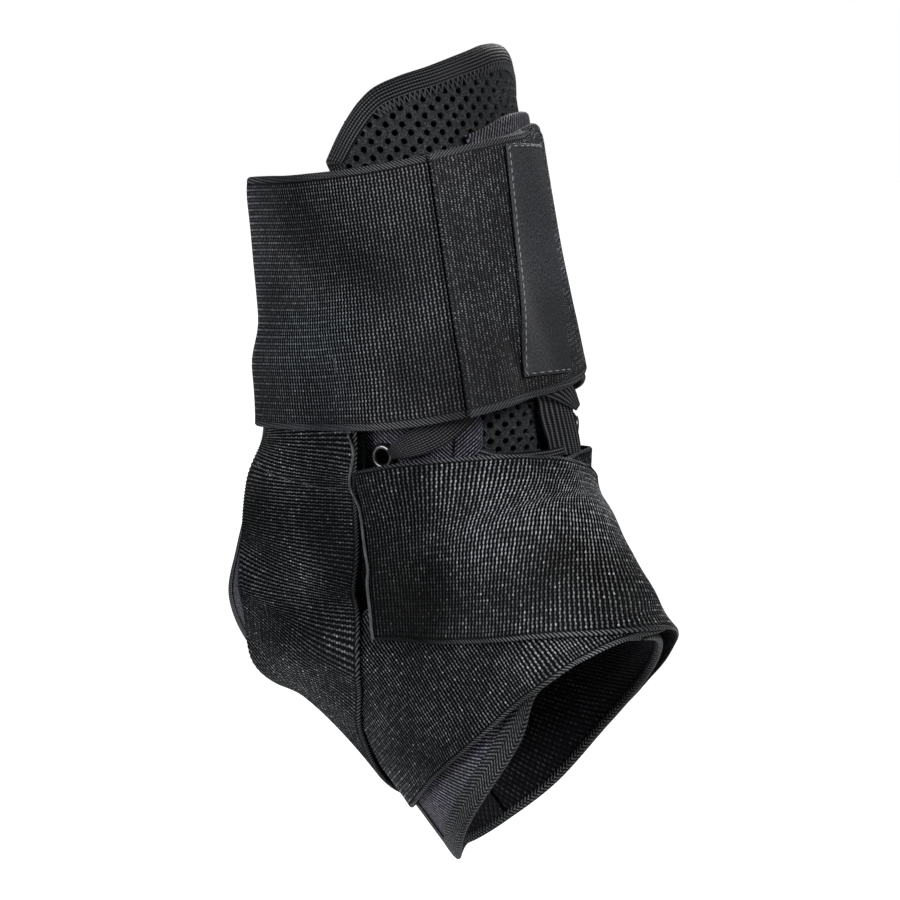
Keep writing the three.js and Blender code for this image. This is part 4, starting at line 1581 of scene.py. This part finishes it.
@dataclass
class Trims:
    """Eyelets, edge bindings, the loop panels that the straps fasten to, and the lace."""

    shop: Workshop
    boot: Boot
    eyelet_width: float = 9.0
    eyelet_hole: float = 4.6
    eyelet_height: float = 1.5
    trim_thickness: float = 1.0
    strap_width: float = 57.0
    lace_width: float = 8.0
    tape_width: float = 7.0
    tape_thickness: float = 0.5
    gap_top: float = 1.45
    gap_end: float = 5.2

    EYELETS = (("eyelet_ring_outer", "eyelet_outer", 70.0, 3.65),
               ("eyelet_ring_inner", "eyelet_inner", -36.0, 3.50))
    TAPE_ALONG, TAPE_END_OUTER, TAPE_END_INNER = (1.45, 3.5, 5.5, 7.5), 9.98, 9.78
    BINDING_REACH, RIM_REACH, BINDING_SEAT, FOOTPRINT_SIDES = 7.6, 6.6, 3.0, 16
    LOOP_PATH = ((112, 2.6, 1.0), (108, 4.0, 1.0), (106, 5.2, 1.0), (108, 6.4, 1.0),
                 (114, 7.1, 1.0))
    LACE_PATH = ((67.0, 3.62, 1.0), (60, 3.52, 1.0), (50, 3.38, 1.0), (40, 3.12, 1.0))
    WINDOW_PATH = ((36, 3.72, 1.0), (30, 3.82, 1.0), (20, 3.88, 1.0), (8, 3.9, 1.0), (0, 3.86, 1.0))
    SIDE_PATH = ((2.5, 2.95, 1.0), (-0.5, 3.3, 1.0), (-3.5, 3.65, 1.0), (-5.5, 3.95, 1.0))
    FLAP_PATH = ((14, 2.96, 1.0), (5, 3.04, 1.15), (-3, 3.16, 1.0), (-9, 3.32, 0.3))
    BINDING = ((7.6, -0.75), (7.4, -0.3), (6.9, -0.1), (4.0, 0.0), (1.6, -0.05), (0.3, -0.5),
               (-0.25, -1.2), (-0.35, -2.0), (-0.2, -2.9), (0.5, -3.75), (2.0, -4.0), (4.2, -3.95),
               (4.4, -3.75), (4.2, -3.55), (2.0, -3.55), (0.8, -3.2), (0.4, -1.9), (0.9, -0.95),
               (2.2, -0.75), (5.0, -0.7))
    RIM = ((7.6, -0.75), (7.4, -0.35), (6.9, -0.2), (4.0, -0.1), (1.6, -0.15), (0.3, -0.45),
           (-0.15, -0.9), (-0.25, -1.4), (-0.1, -1.95), (0.4, -2.4), (1.4, -2.55), (2.4, -2.5),
           (2.5, -2.25), (1.4, -2.15), (0.75, -2.0), (0.4, -1.5), (0.7, -1.0), (2.2, -0.75),
           (5.0, -0.72))

    def eyelet(self, name: str, around: float, along: float) -> tuple[Piece, Footprint]:
        """One moulded eyelet, seated on the boot, its hole closed by a near-black disc of painted
        shadow.

        Args:
            name: the piece's name.
            around: where it is round the form.
            along: where it is along the form.

        Returns:
            The ring and its footprint.
        """
        form, layers = self.shop.form, self.shop.layers
        at = Places(np.array([around]), np.array([along]))
        surface = form.surface(at)
        reach = self.eyelet_width / 2

        def seat(direction: np.ndarray, distance: float) -> np.ndarray:
            """A point of the cloth under the eyelet."""
            spot = form.walk(at, direction, distance)
            return form.raised(spot, layers.rest(spot))[0]

        side = seat(surface.by_around, reach) - seat(surface.by_around, -reach)
        down = seat(surface.by_along, reach) - seat(surface.by_along, -reach)
        up = unit(np.cross(side, down))
        x_way = unit(side)
        y_way = np.cross(up, x_way)
        centre = seat(surface.by_around, 0.0)
        hole, height = self.eyelet_hole / 2, self.eyelet_height
        profile = [(hole, 0.0), (hole, 0.4 * height), (hole + 0.25, 0.8 * height),
                   (hole + 0.8, height), (reach - 0.7, 0.85 * height),
                   (reach - 0.15, 0.45 * height), (reach, 0.0), (hole + 0.6, -0.3),
                   (hole - 0.1, -0.3)]
        turns = np.linspace(0, 2 * math.pi, 48, endpoint=False)
        points = np.array([[centre + (x_way * math.cos(a) + y_way * math.sin(a)) * r + up * h
                            for a in turns] for r, h in profile + profile[:1]])
        joined = len(profile) * len(turns)
        faces = [tuple(v % joined for v in f)
                 for f in grid_faces(len(profile) + 1, len(turns), around=True)]
        vertices = points[:-1].reshape(-1, 3)
        first = vertices[list(faces[0])]
        facing = np.dot(np.cross(first[1] - first[0], first[2] - first[0]), centre - first.mean(0))
        if facing < 0:
            faces = turned(faces)
        # Painted shadow: a near-black disc closes the hole, where it would be dark.
        faces.append(tuple(range(joined - len(turns), joined))[::-1])
        finish_of = np.append(np.zeros(len(faces) - 1), 1)
        mesh = build_mesh(name, vertices, faces, np.zeros((joined, 2)), [MOULDED, PAINTED_SHADOW_FLOOR],
                          finish_of)
        turns = np.linspace(0, 2 * math.pi, self.FOOTPRINT_SIDES, endpoint=False)
        ring = form.walk(Places(np.full(len(turns), around), np.full(len(turns), along)),
                         np.array([x_way * math.cos(a) + y_way * math.sin(a) for a in turns]),
                         reach)
        points = form.raised(ring, SURFACE_OFFSET)
        footprint = Footprint(ring.pairs(), points, self.eyelet_height)
        return new_piece(name, mesh), footprint

    def gap_binding(self, name: str, column: int,
                    side: float) -> tuple[Piece, Footprint]:
        """The binding of one side of the lacing gap.

        Args:
            name: the piece's name.
            column: the panel's column in the boot's table of front edges.
            side: 1 for the outer side, -1 for the inner side.

        Returns:
            The binding and its footprint.
        """
        along = np.linspace(self.gap_top, self.gap_end, 120)
        edge = Places(self.boot.lacing(column, along), along)
        inwards = self.shop.form.surface(edge).by_around * side
        under = self.shop.form.walk(edge, inwards, self.BINDING_SEAT)
        base = self.shop.layers.rest(under)
        piece = self.shop.wrap(name, edge, inwards, self.BINDING, base,
                               BOOT_TWILL if side > 0 else STRIPED)
        return piece, self.strip(edge, inwards, self.BINDING_REACH)

    def strip(self, edge: Places, inwards: np.ndarray, width: float) -> Footprint:
        """The footprint of a binding."""
        places = Places.stacked([self.shop.form.walk(edge, inwards, d) for d in (SEAM, width)])
        return self.shop.layers.footprint(places, self.trim_thickness)

    def rim_binding(self) -> tuple[Piece, Footprint]:
        """The binding of the foot opening."""
        around = np.linspace(1.5, TURN - 1.5, 260)
        edge = self.boot.down(around, np.ones(len(around)))
        inwards = -self.shop.form.surface(edge).by_along
        under = self.shop.form.walk(edge, inwards, self.BINDING_SEAT)
        base = self.shop.layers.rest(under)
        piece = self.shop.wrap("rim_edge_binding", edge, inwards, self.RIM, base, HERRINGBONE)
        return piece, self.strip(edge, inwards, self.RIM_REACH)

    def loop_panel(self, name: str, side: int) -> tuple[Piece, Footprint]:
        """A brushed panel that the straps fasten to."""
        rows = tuple((u * side, v, w) for u, v, w in self.LOOP_PATH)
        cloth, footprint = self.shop.lay_band(rows, self.strap_width, Across.SQUARE,
                                              self.trim_thickness, 1.2, 1.2)
        cloth.swell(0.25 * unevenness(cloth.x, cloth.y, 1.1, 5), both=False)
        return cloth.piece(name, LOOP_PILE, BACKING), footprint

    def seam_tape(self, side: int) -> Piece:
        """The tape over the seam between a side panel and the heel panel."""
        end = self.TAPE_END_OUTER if side > 0 else self.TAPE_END_INNER
        rows = tuple((self.boot.heel_side * side, v, 1.0) for v in (*self.TAPE_ALONG, end))
        cloth, _ = self.shop.lay_band(rows, self.tape_width, Across.ROUND, self.tape_thickness,
                                      1.5, 1.0)
        cloth.swell(0.12 - CLEARANCE)
        return cloth.piece("heel_seam_tape_outer" if side > 0 else "heel_seam_tape_inner",
                           STRIPED, BACKING)

    def lace(self) -> tuple[Piece, Footprint]:
        """The flat lace that rises from the outer eyelet to the cuff."""
        rows = tuple((u, v, w * share) for (u, v, w), share in
                     zip(self.LACE_PATH, (0.4, 0.9, 1.1, 1.1)))
        cloth, footprint = self.shop.lay_band(rows, self.lace_width, Across.SQUARE,
                                              self.trim_thickness, 0.5, 0.5, 1.0)
        dip = 2.2 * (1 - smooth(cloth.x, 0.0, 4.0))
        cloth.swell(0.5 * smooth(cloth.x, 3.0, 9.0) * np.cos(cloth.y / cloth.y[0, -1] * 3.0) - dip)
        return cloth.piece("lace_length", LACE_WEAVE, LACE_WEAVE), footprint

    def dress(self) -> None:
        """Build the trims and join them to the part."""
        rings = []
        for name, node, around, along in self.EYELETS:
            piece, footprint = self.eyelet(name, around, along)
            keep(piece, "eyelet", node)
            rings.append(footprint)
        self.shop.layers.add(*rings)
        level = []
        for made, slot, node in (
                (self.gap_binding("gap_edge_binding_outer", 2, 1.0), "knit_binding",
                 "gap_binding_outer"),
                (self.gap_binding("gap_edge_binding_inner", 1, -1.0), "knit_binding",
                 "gap_binding_inner"),
                (self.rim_binding(), "knit_binding", "rim_binding"),
                (self.loop_panel("loop_pile_outer", 1), "loop_pile", "loop_panel_outer"),
                (self.loop_panel("loop_pile_inner", -1), "loop_pile", "loop_panel_inner")):
            piece, footprint = made
            keep(piece, slot, node)
            level.append(footprint)
        for side in (1, -1):
            keep(self.seam_tape(side), "knit_binding")
        self.shop.layers.add(*level)
        for name, slot, path, width, across, thickness, cell, rise in (
                ("gap_side_webbing", "knit_binding", self.SIDE_PATH, 11.5, Across.ROUND, 0.8, 0.5,
                 lambda c: -2.6 * smooth(c.y, 4.0, 11.5)),
                ("gap_lower_edge", "knit_binding", self.WINDOW_PATH, 3.6, Across.SQUARE, 0.9, 0.4,
                 lambda c: 0.9),
                ("lace_free_end", "lace", self.FLAP_PATH, self.lace_width, Across.SQUARE, 0.9, 0.5,
                 lambda c: 0.9 + 0.6 * smooth(c.x, 4.0, c.x[-1, 0]))):
            cloth, _ = self.shop.lay_band(path, width, across, thickness, 0.5, cell, 1.0)
            keep(cloth.swell(rise(cloth)).piece(name, STRIPED, BACKING), slot)
        piece, footprint = self.lace()
        keep(piece, "lace", "lace_outer")
        self.shop.layers.add(footprint)


@dataclass
class Straps:
    """Two elastic straps in a figure of eight, each a mirror image of the other."""

    shop: Workshop
    width: float = 57.0
    thickness: float = 1.3
    loop_margin: float = 0.6
    rib_height: float = 0.32
    faces_to_a_rib: int = 4
    # Painted shade: how far the darkened start of the strap runs, and how long it takes to fade
    # out.
    start_dark: float = 18.0
    start_fade: float = 16.0
    seam_pitch: float = 1.9

    # Painted shade: the colour's factor at the strap's start and towards the back, the around where
    # the front is brightest, and the fade away from it.
    START_SHADE, BACK_SHADE, FRONT_MIDDLE, FRONT_FADE = 0.3, 0.55, 28.0, (24.0, 62.0)
    SEAM_BACK, SEAM_INSET = (37.0, 42.0), 8.0
    PATH = ((75, 5.52, 0.96, 0), (60, 5.62, 1.05, 0), (42, 5.87, 1.09, 0), (19, 6.22, 1.14, 0),
            (0, 6.50, 1.22, 0), (-20, 6.76, 1.16, 0), (-37, 7.15, 1.08, 0), (-53, 7.65, 1.02, 0),
            (-82, 8.38, 1.00, 0), (-112, 8.75, 1.00, 0), (-134, 8.84, 1.00, 0),
            (-157, 8.80, 1.00, 0), (-180, 8.68, 1.00, 0), (-204, 8.38, 1.00, -6),
            (-229, 7.78, 0.98, -10), (-245, 7.13, 0.96, -14), (-254, 6.40, 0.93, -12),
            (-257, 5.20, 0.91, -7), (-254, 4.10, 0.94, 0), (-248, 3.10, 1.00, 3),
            (-245, 2.50, 1.00, 3))
    EDGE_LINE = ((81.5, 3.28), (78.5, 3.55), (79.0, 4.06), (75.5, 4.54), (75.5, 5.62),
                 (78.0, 6.2), (82.5, 6.9), (88.5, 7.52))

    def path(self) -> list[tuple[float, ...]]:
        """The strap's path, its start kept clear of its own rising end."""
        rows = [tuple(map(float, row)) for row in self.PATH]
        rising = Places(np.array([rows[-3][0]]), np.array([rows[-3][1]]))
        front = -self.shop.form.surface(rising).by_around
        edge = self.shop.form.walk(rising, front, self.width / 2 + self.loop_margin)
        rows[0] = (float(edge.around[0]) + TURN, *rows[0][1:])
        return rows

    def edge_line(self) -> Piece:
        """The pale edge of the fastening where the upper strap starts."""
        rows = np.array(self.EDGE_LINE, float)
        at = spline(rows, np.linspace(0, len(rows) - 1, 90))
        spots = Places(at[:, 0], at[:, 1])
        surface = self.shop.form.surface(spots)
        middle = surface.point + surface.normal * (self.shop.layers.rest(spots) + 0.1)[:, None]
        aside = unit(np.cross(surface.normal, np.gradient(middle, axis=0)))
        turns = np.arange(6) / 6 * 2 * math.pi
        rings = np.stack([middle + (aside * math.cos(a) * 0.3 + surface.normal * math.sin(a) * 0.8)
                          for a in turns], axis=1)
        return tube("fastening_edge", rings, rings[..., :2].copy(), PALE_EDGE)

    def end_seam(self, length: float) -> list[tuple[float, float]]:
        """Corners of the seam across a strap's rising end."""
        return [(length - self.SEAM_BACK[0], self.width - self.SEAM_INSET),
                (length - self.SEAM_BACK[1], self.SEAM_INSET)]

    def strap(self, name: str, side: int) -> tuple[Piece, Footprint, Cloth]:
        """One strap, with its ribs and its painted shade.

        Args:
            name: the piece's name.
            side: 1 for the strap that starts on the outer side, -1 for its mirror image.

        Returns:
            The strap, its footprint and its cloth.
        """
        rows = [(u * side, v, w, lean * side) for u, v, w, lean in self.path()]
        cloth, footprint = self.shop.lay_band(rows, self.width, Across.SQUARE, self.thickness,
                                              WEBBING.pitch / self.faces_to_a_rib, 2.4)
        cloth.swell(0.3 * unevenness(cloth.x, cloth.y, 14.0, 11))
        # Painted shade: the strap's colour is darkened over its first 18 to 34 mm, with a wavy
        # edge, and towards the back of the leg; it is left brightest near the front, as though lit
        # there.
        painted_shading_edge = cloth.x + 7.0 * unevenness(cloth.x, cloth.y, 8.0, 12)
        start = smooth(painted_shading_edge, self.start_dark, self.start_dark + self.start_fade)
        aside = np.abs(np.abs(cloth.places.around) - self.FRONT_MIDDLE)
        cloth.shade = (straight(self.START_SHADE, 1.0, start)
                       * straight(1.0, self.BACK_SHADE, smooth(aside, *self.FRONT_FADE)))
        piece = cloth.piece(name, WEBBING, BACKING, self.faces_to_a_rib)
        self.shop.ribbing.apply(piece, {"Pitch": WEBBING.pitch, "Height": self.rib_height * MM,
                                        "Finish": WEBBING.material()})
        return piece, footprint, cloth

    def dress(self) -> None:
        """Build the straps and join them to the part."""
        for name, node, side in (("strap_webbing_under", "strap_under", -1),
                                 ("strap_webbing_over", "strap_over", 1)):
            piece, footprint, cloth = self.strap(name, side)
            keep(piece, "webbing", node)
            length = float(cloth.x[-1, 0])
            keep(self.shop.sew_on(name + "_seam", cloth, self.end_seam(length), self.seam_pitch,
                                  DARK_THREAD), "webbing")
            self.shop.layers.add(footprint)
        keep(self.edge_line(), "loop_pile")


@dataclass
class Cuff:
    """The elastic cuff, its closing tab and the plain patch on the tab."""

    shop: Workshop
    height: float = 84.0
    thickness: float = 1.6
    overlap: float = 4.0
    patch_width: float = 17.5
    patch_thickness: float = 0.6
    rib_height: float = 0.3
    faces_to_a_rib: int = 4
    stitch_pitch: float = 2.5

    TAB_PATH = ((41, 2.245, 1), (20, 2.20, 1), (0, 2.145, 1), (-18, 2.05, 1))
    PATH = ((36, 2.24, 1), (60, 2.25, 1), (84, 2.21, 1), (131, 2.06, 1), (180, 1.98, 1),
            (225, 2.05, 1), (270, 2.16, 1), (315, 2.12, 1), (342, 2.06, 1), (366, 2.16, 1))
    TACK, TACK_CORNERS, TACK_PITCH = (85.5, 2.6), ((1.5, 0.0), (0.0, 0.0), (0.0, 5.0)), 1.6
    PATCH_INSET, SEAM_BACK, SEAM_ENDS, SEAM_PITCH, ZIGZAG = 0.8, 4.2, (8.0, 3.0), 1.7, 2.8
    LOWER_CORNER, UPPER_CORNER, ROLL_RUN = 7.0, 8.0, (15.0, 7.0)
    ROLLED, ROLL_RADIUS, ROLL_RISE = 5.2, 1.6, 4.0
    PATCH_PATH = ((1.3, 1.33, 0.94), (3.0, 1.85, 0.90), (5.2, 2.45, 0.86), (7.7, 3.0, 0.82))

    def path(self) -> list[tuple[float, float, float]]:
        """The elastic's path, which starts under the tab."""
        start = Places(np.array([float(self.TAB_PATH[0][0])]), np.array([self.TAB_PATH[0][1]]))
        forwards = -self.shop.form.surface(start).by_around
        under = self.shop.form.walk(start, forwards, self.overlap)
        rows = [tuple(map(float, row)) for row in self.PATH]
        rows[0] = (float(under.around[0]), rows[0][1], rows[0][2])
        return rows

    def elastic(self, name: str, rows: Rows, finish: RibbedElastic,
                relief: Callable[[Cloth], None]) -> tuple[Piece, Footprint, Cloth]:
        """A length of the wide elastic, with its ribs.

        Args:
            name: the piece's name.
            rows: its path.
            finish: its finish.
            relief: what shapes the laid cloth further.

        Returns:
            The piece, its footprint and the cloth.
        """
        cloth, footprint = self.shop.lay_band(rows, self.height, Across.DOWN, self.thickness,
                                              finish.pitch / self.faces_to_a_rib, 2.8)
        relief(cloth)
        piece = cloth.piece(name, finish, BACKING, self.faces_to_a_rib)
        self.shop.ribbing.apply(piece, {"Pitch": finish.pitch, "Height": self.rib_height * MM,
                                        "Finish": finish.material()})
        return piece, footprint, cloth

    def patch(self, tab: Cloth) -> tuple[Piece, Footprint]:
        """The plain smooth patch on the tab, with its stitches and the tab's seam.

        Args:
            tab: the tab's cloth.

        Returns:
            The patch and its footprint.
        """
        cloth, footprint = self.shop.lay_band(self.PATCH_PATH, self.patch_width, Across.ROUND,
                                              self.patch_thickness, 1.0, 1.0)
        inset = self.PATCH_INSET
        near, far = self.patch_width - inset, float(cloth.x[-1, 0]) - inset
        corners = [(inset, inset), (inset, near), (far, near), (far, inset)]
        seam = self.shop.sew_on("patch_stitches", cloth, corners, self.stitch_pitch, THREAD)
        keep(seam, "satin_patch")
        at, (top, bottom) = float(tab.x[-1, 0]) - self.SEAM_BACK, self.SEAM_ENDS
        seam = self.shop.sew_on("tab_zigzag", tab, [(at, top), (at, self.height - bottom)],
                                self.SEAM_PITCH, DARK_THREAD, self.ZIGZAG)
        keep(seam, "elastic")
        return cloth.piece("plain_satin_patch", SATIN, BACKING), footprint

    def dress(self) -> None:
        """Build the cuff and join it to the part."""
        def wrapped(cloth: Cloth) -> None:
            """Soft unevenness of the stretched elastic."""
            cloth.swell(0.35 * unevenness(cloth.x, cloth.y, 16.0, 21))

        def tabbed(cloth: Cloth) -> None:
            """The tab's free end, its corners rounded and its top edge rolled in."""
            cloth.swell(0.2 * unevenness(cloth.x, cloth.y, 15.0, 22))
            cloth.round_corner(self.LOWER_CORNER, False).round_corner(self.UPPER_CORNER, True)
            rolled = smooth(cloth.x, *(cloth.x[-1, 0] - run for run in self.ROLL_RUN))
            cloth.curl(rolled, self.ROLLED, self.ROLL_RADIUS, self.ROLL_RISE)

        piece, footprint, cuff = self.elastic("cuff_wrap", self.path(), ELASTIC, wrapped)
        keep(piece, "elastic", "cuff_elastic")
        x, y = nearest(cuff, *self.TACK)
        tack = self.shop.sew_on("cuff_tack", cuff, [(x + a, y + b) for a, b in self.TACK_CORNERS],
                                self.TACK_PITCH, DARK_THREAD)
        keep(tack, "elastic")
        self.shop.layers.add(footprint)
        piece, footprint, tab = self.elastic("cuff_closing_tab", self.TAB_PATH, TAB_ELASTIC, tabbed)
        keep(piece, "elastic", "cuff_tab")
        self.shop.layers.add(footprint)
        piece, footprint = self.patch(tab)
        keep(piece, "satin_patch", "closure_patch")


@dataclass
class Studio:
    """Camera, soft lights and a pale floor."""

    azimuth: float = 35.0
    elevation: float = 4.0
    distance: float = 1.3
    lens: float = 157.58
    shift_right: float = 0.00594
    shift_up: float = 0.0297
    floor_drop: float = 0.30
    floor_reach: float = 200.0
    part_foot: float = -0.103
    ambient: float = 0.2

    LIGHTS = (("key", (1.0, 0.7, 0.9), 0.5, 46.0, (1.0, 1.0, 1.0)),
              ("fill", (-1.1, 0.2, 0.8), 0.6, 30.0, (0.93, 0.965, 1.0)),
              ("back", (0.5, 0.9, -1.0), 0.6, 14.0, (1.0, 1.0, 1.0)))

    def axes(self) -> tuple[Vector, Vector, Vector]:
        """The camera's way back, right and up."""
        a, e = math.radians(self.azimuth), math.radians(self.elevation)
        back = Vector((math.sin(a) * math.cos(e), -math.cos(a) * math.cos(e), math.sin(e)))
        right = Vector((math.cos(a), math.sin(a), 0.0))
        return back, right, back.cross(right)

    def place_camera(self) -> None:
        """Set the camera at the photograph's angle."""
        back, right, up = self.axes()
        target = right * self.shift_right + up * self.shift_up
        data = bpy.data.cameras.new("camera")
        data.lens, data.sensor_width, data.clip_end = self.lens, 36.0, 500.0
        camera = bpy.data.objects.new("camera", data)
        camera.location = target + back * self.distance
        camera.rotation_euler = back.to_track_quat("Z", "Y").to_euler()
        bpy.context.scene.collection.objects.link(camera)
        bpy.context.scene.camera = camera

    def light(self, name: str, place: tuple[float, float, float], size: float, power: float,
              colour: Colour) -> None:
        """Add a square soft light that faces the brace.

        Args:
            name: the light's name.
            place: metres to the right, up and back, as the camera sees it.
            size: its side in metres.
            power: its power in watts.
            colour: its colour.
        """
        back, right, up = self.axes()
        data = bpy.data.lights.new(name, "AREA")
        data.size, data.energy, data.color = size, power, colour
        lamp = bpy.data.objects.new(name, data)
        lamp.location = right * place[0] + up * place[1] + back * place[2]
        lamp.rotation_euler = lamp.location.to_track_quat("Z", "Y").to_euler()
        bpy.context.scene.collection.objects.link(lamp)

    def floor(self) -> Piece:
        """A pale floor that meets the background without a line."""
        material = bpy.data.materials.new("floor")
        material.use_nodes = True
        n = Nodes(material.node_tree)
        shader = n.tree.nodes["Principled BSDF"]
        for key, value in (("Base Color", opaque((0.9, 0.9, 0.9))), ("Roughness", 0.9),
                           ("Emission Color", opaque((1.0, 1.0, 1.0))),
                           ("Emission Strength", n.add("ShaderNodeLightPath").outputs[0])):
            n.put(shader.inputs[key], value)
        mesh = bpy.data.meshes.new("floor")
        reach, drop = self.floor_reach, self.part_foot - self.floor_drop
        mesh.from_pydata([(-reach, -reach, drop), (reach, -reach, drop), (reach, reach, drop),
                          (-reach, reach, drop)], [], [(0, 1, 2, 3)])
        mesh.materials.append(material)
        return new_piece("floor", mesh)

    def set_up(self) -> None:
        """Place the camera, lights, floor and world."""
        self.place_camera()
        for light in self.LIGHTS:
            self.light(*light)
        self.floor()
        world = bpy.data.worlds.new("studio")
        world.use_nodes = True
        n = Nodes(world.node_tree)
        background = n.tree.nodes["Background"]
        background.inputs["Color"].default_value = (1.0, 1.0, 1.0, 1.0)
        seen = n.add("ShaderNodeLightPath").outputs[0]
        n.put(background.inputs["Strength"], n.math("MULTIPLY_ADD", seen, 1.0 - self.ambient,
                                                    self.ambient))
        bpy.context.scene.world = world
        bpy.context.scene.view_settings.view_transform = "Standard"


def main() -> None:
    """Build the brace over its solids, piece by piece."""
    logging.basicConfig(level=logging.INFO, format="%(message)s")
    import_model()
    shop = Workshop.opened()
    Tongue(shop).dress()
    boot = Boot(shop)
    boot.dress()
    Trims(shop, boot).dress()
    Straps(shop).dress()
    Cuff(shop).dress()
    bpy.data.objects.remove(shop.stitch)
    Studio().set_up()


if __name__ == "__main__":
    main()
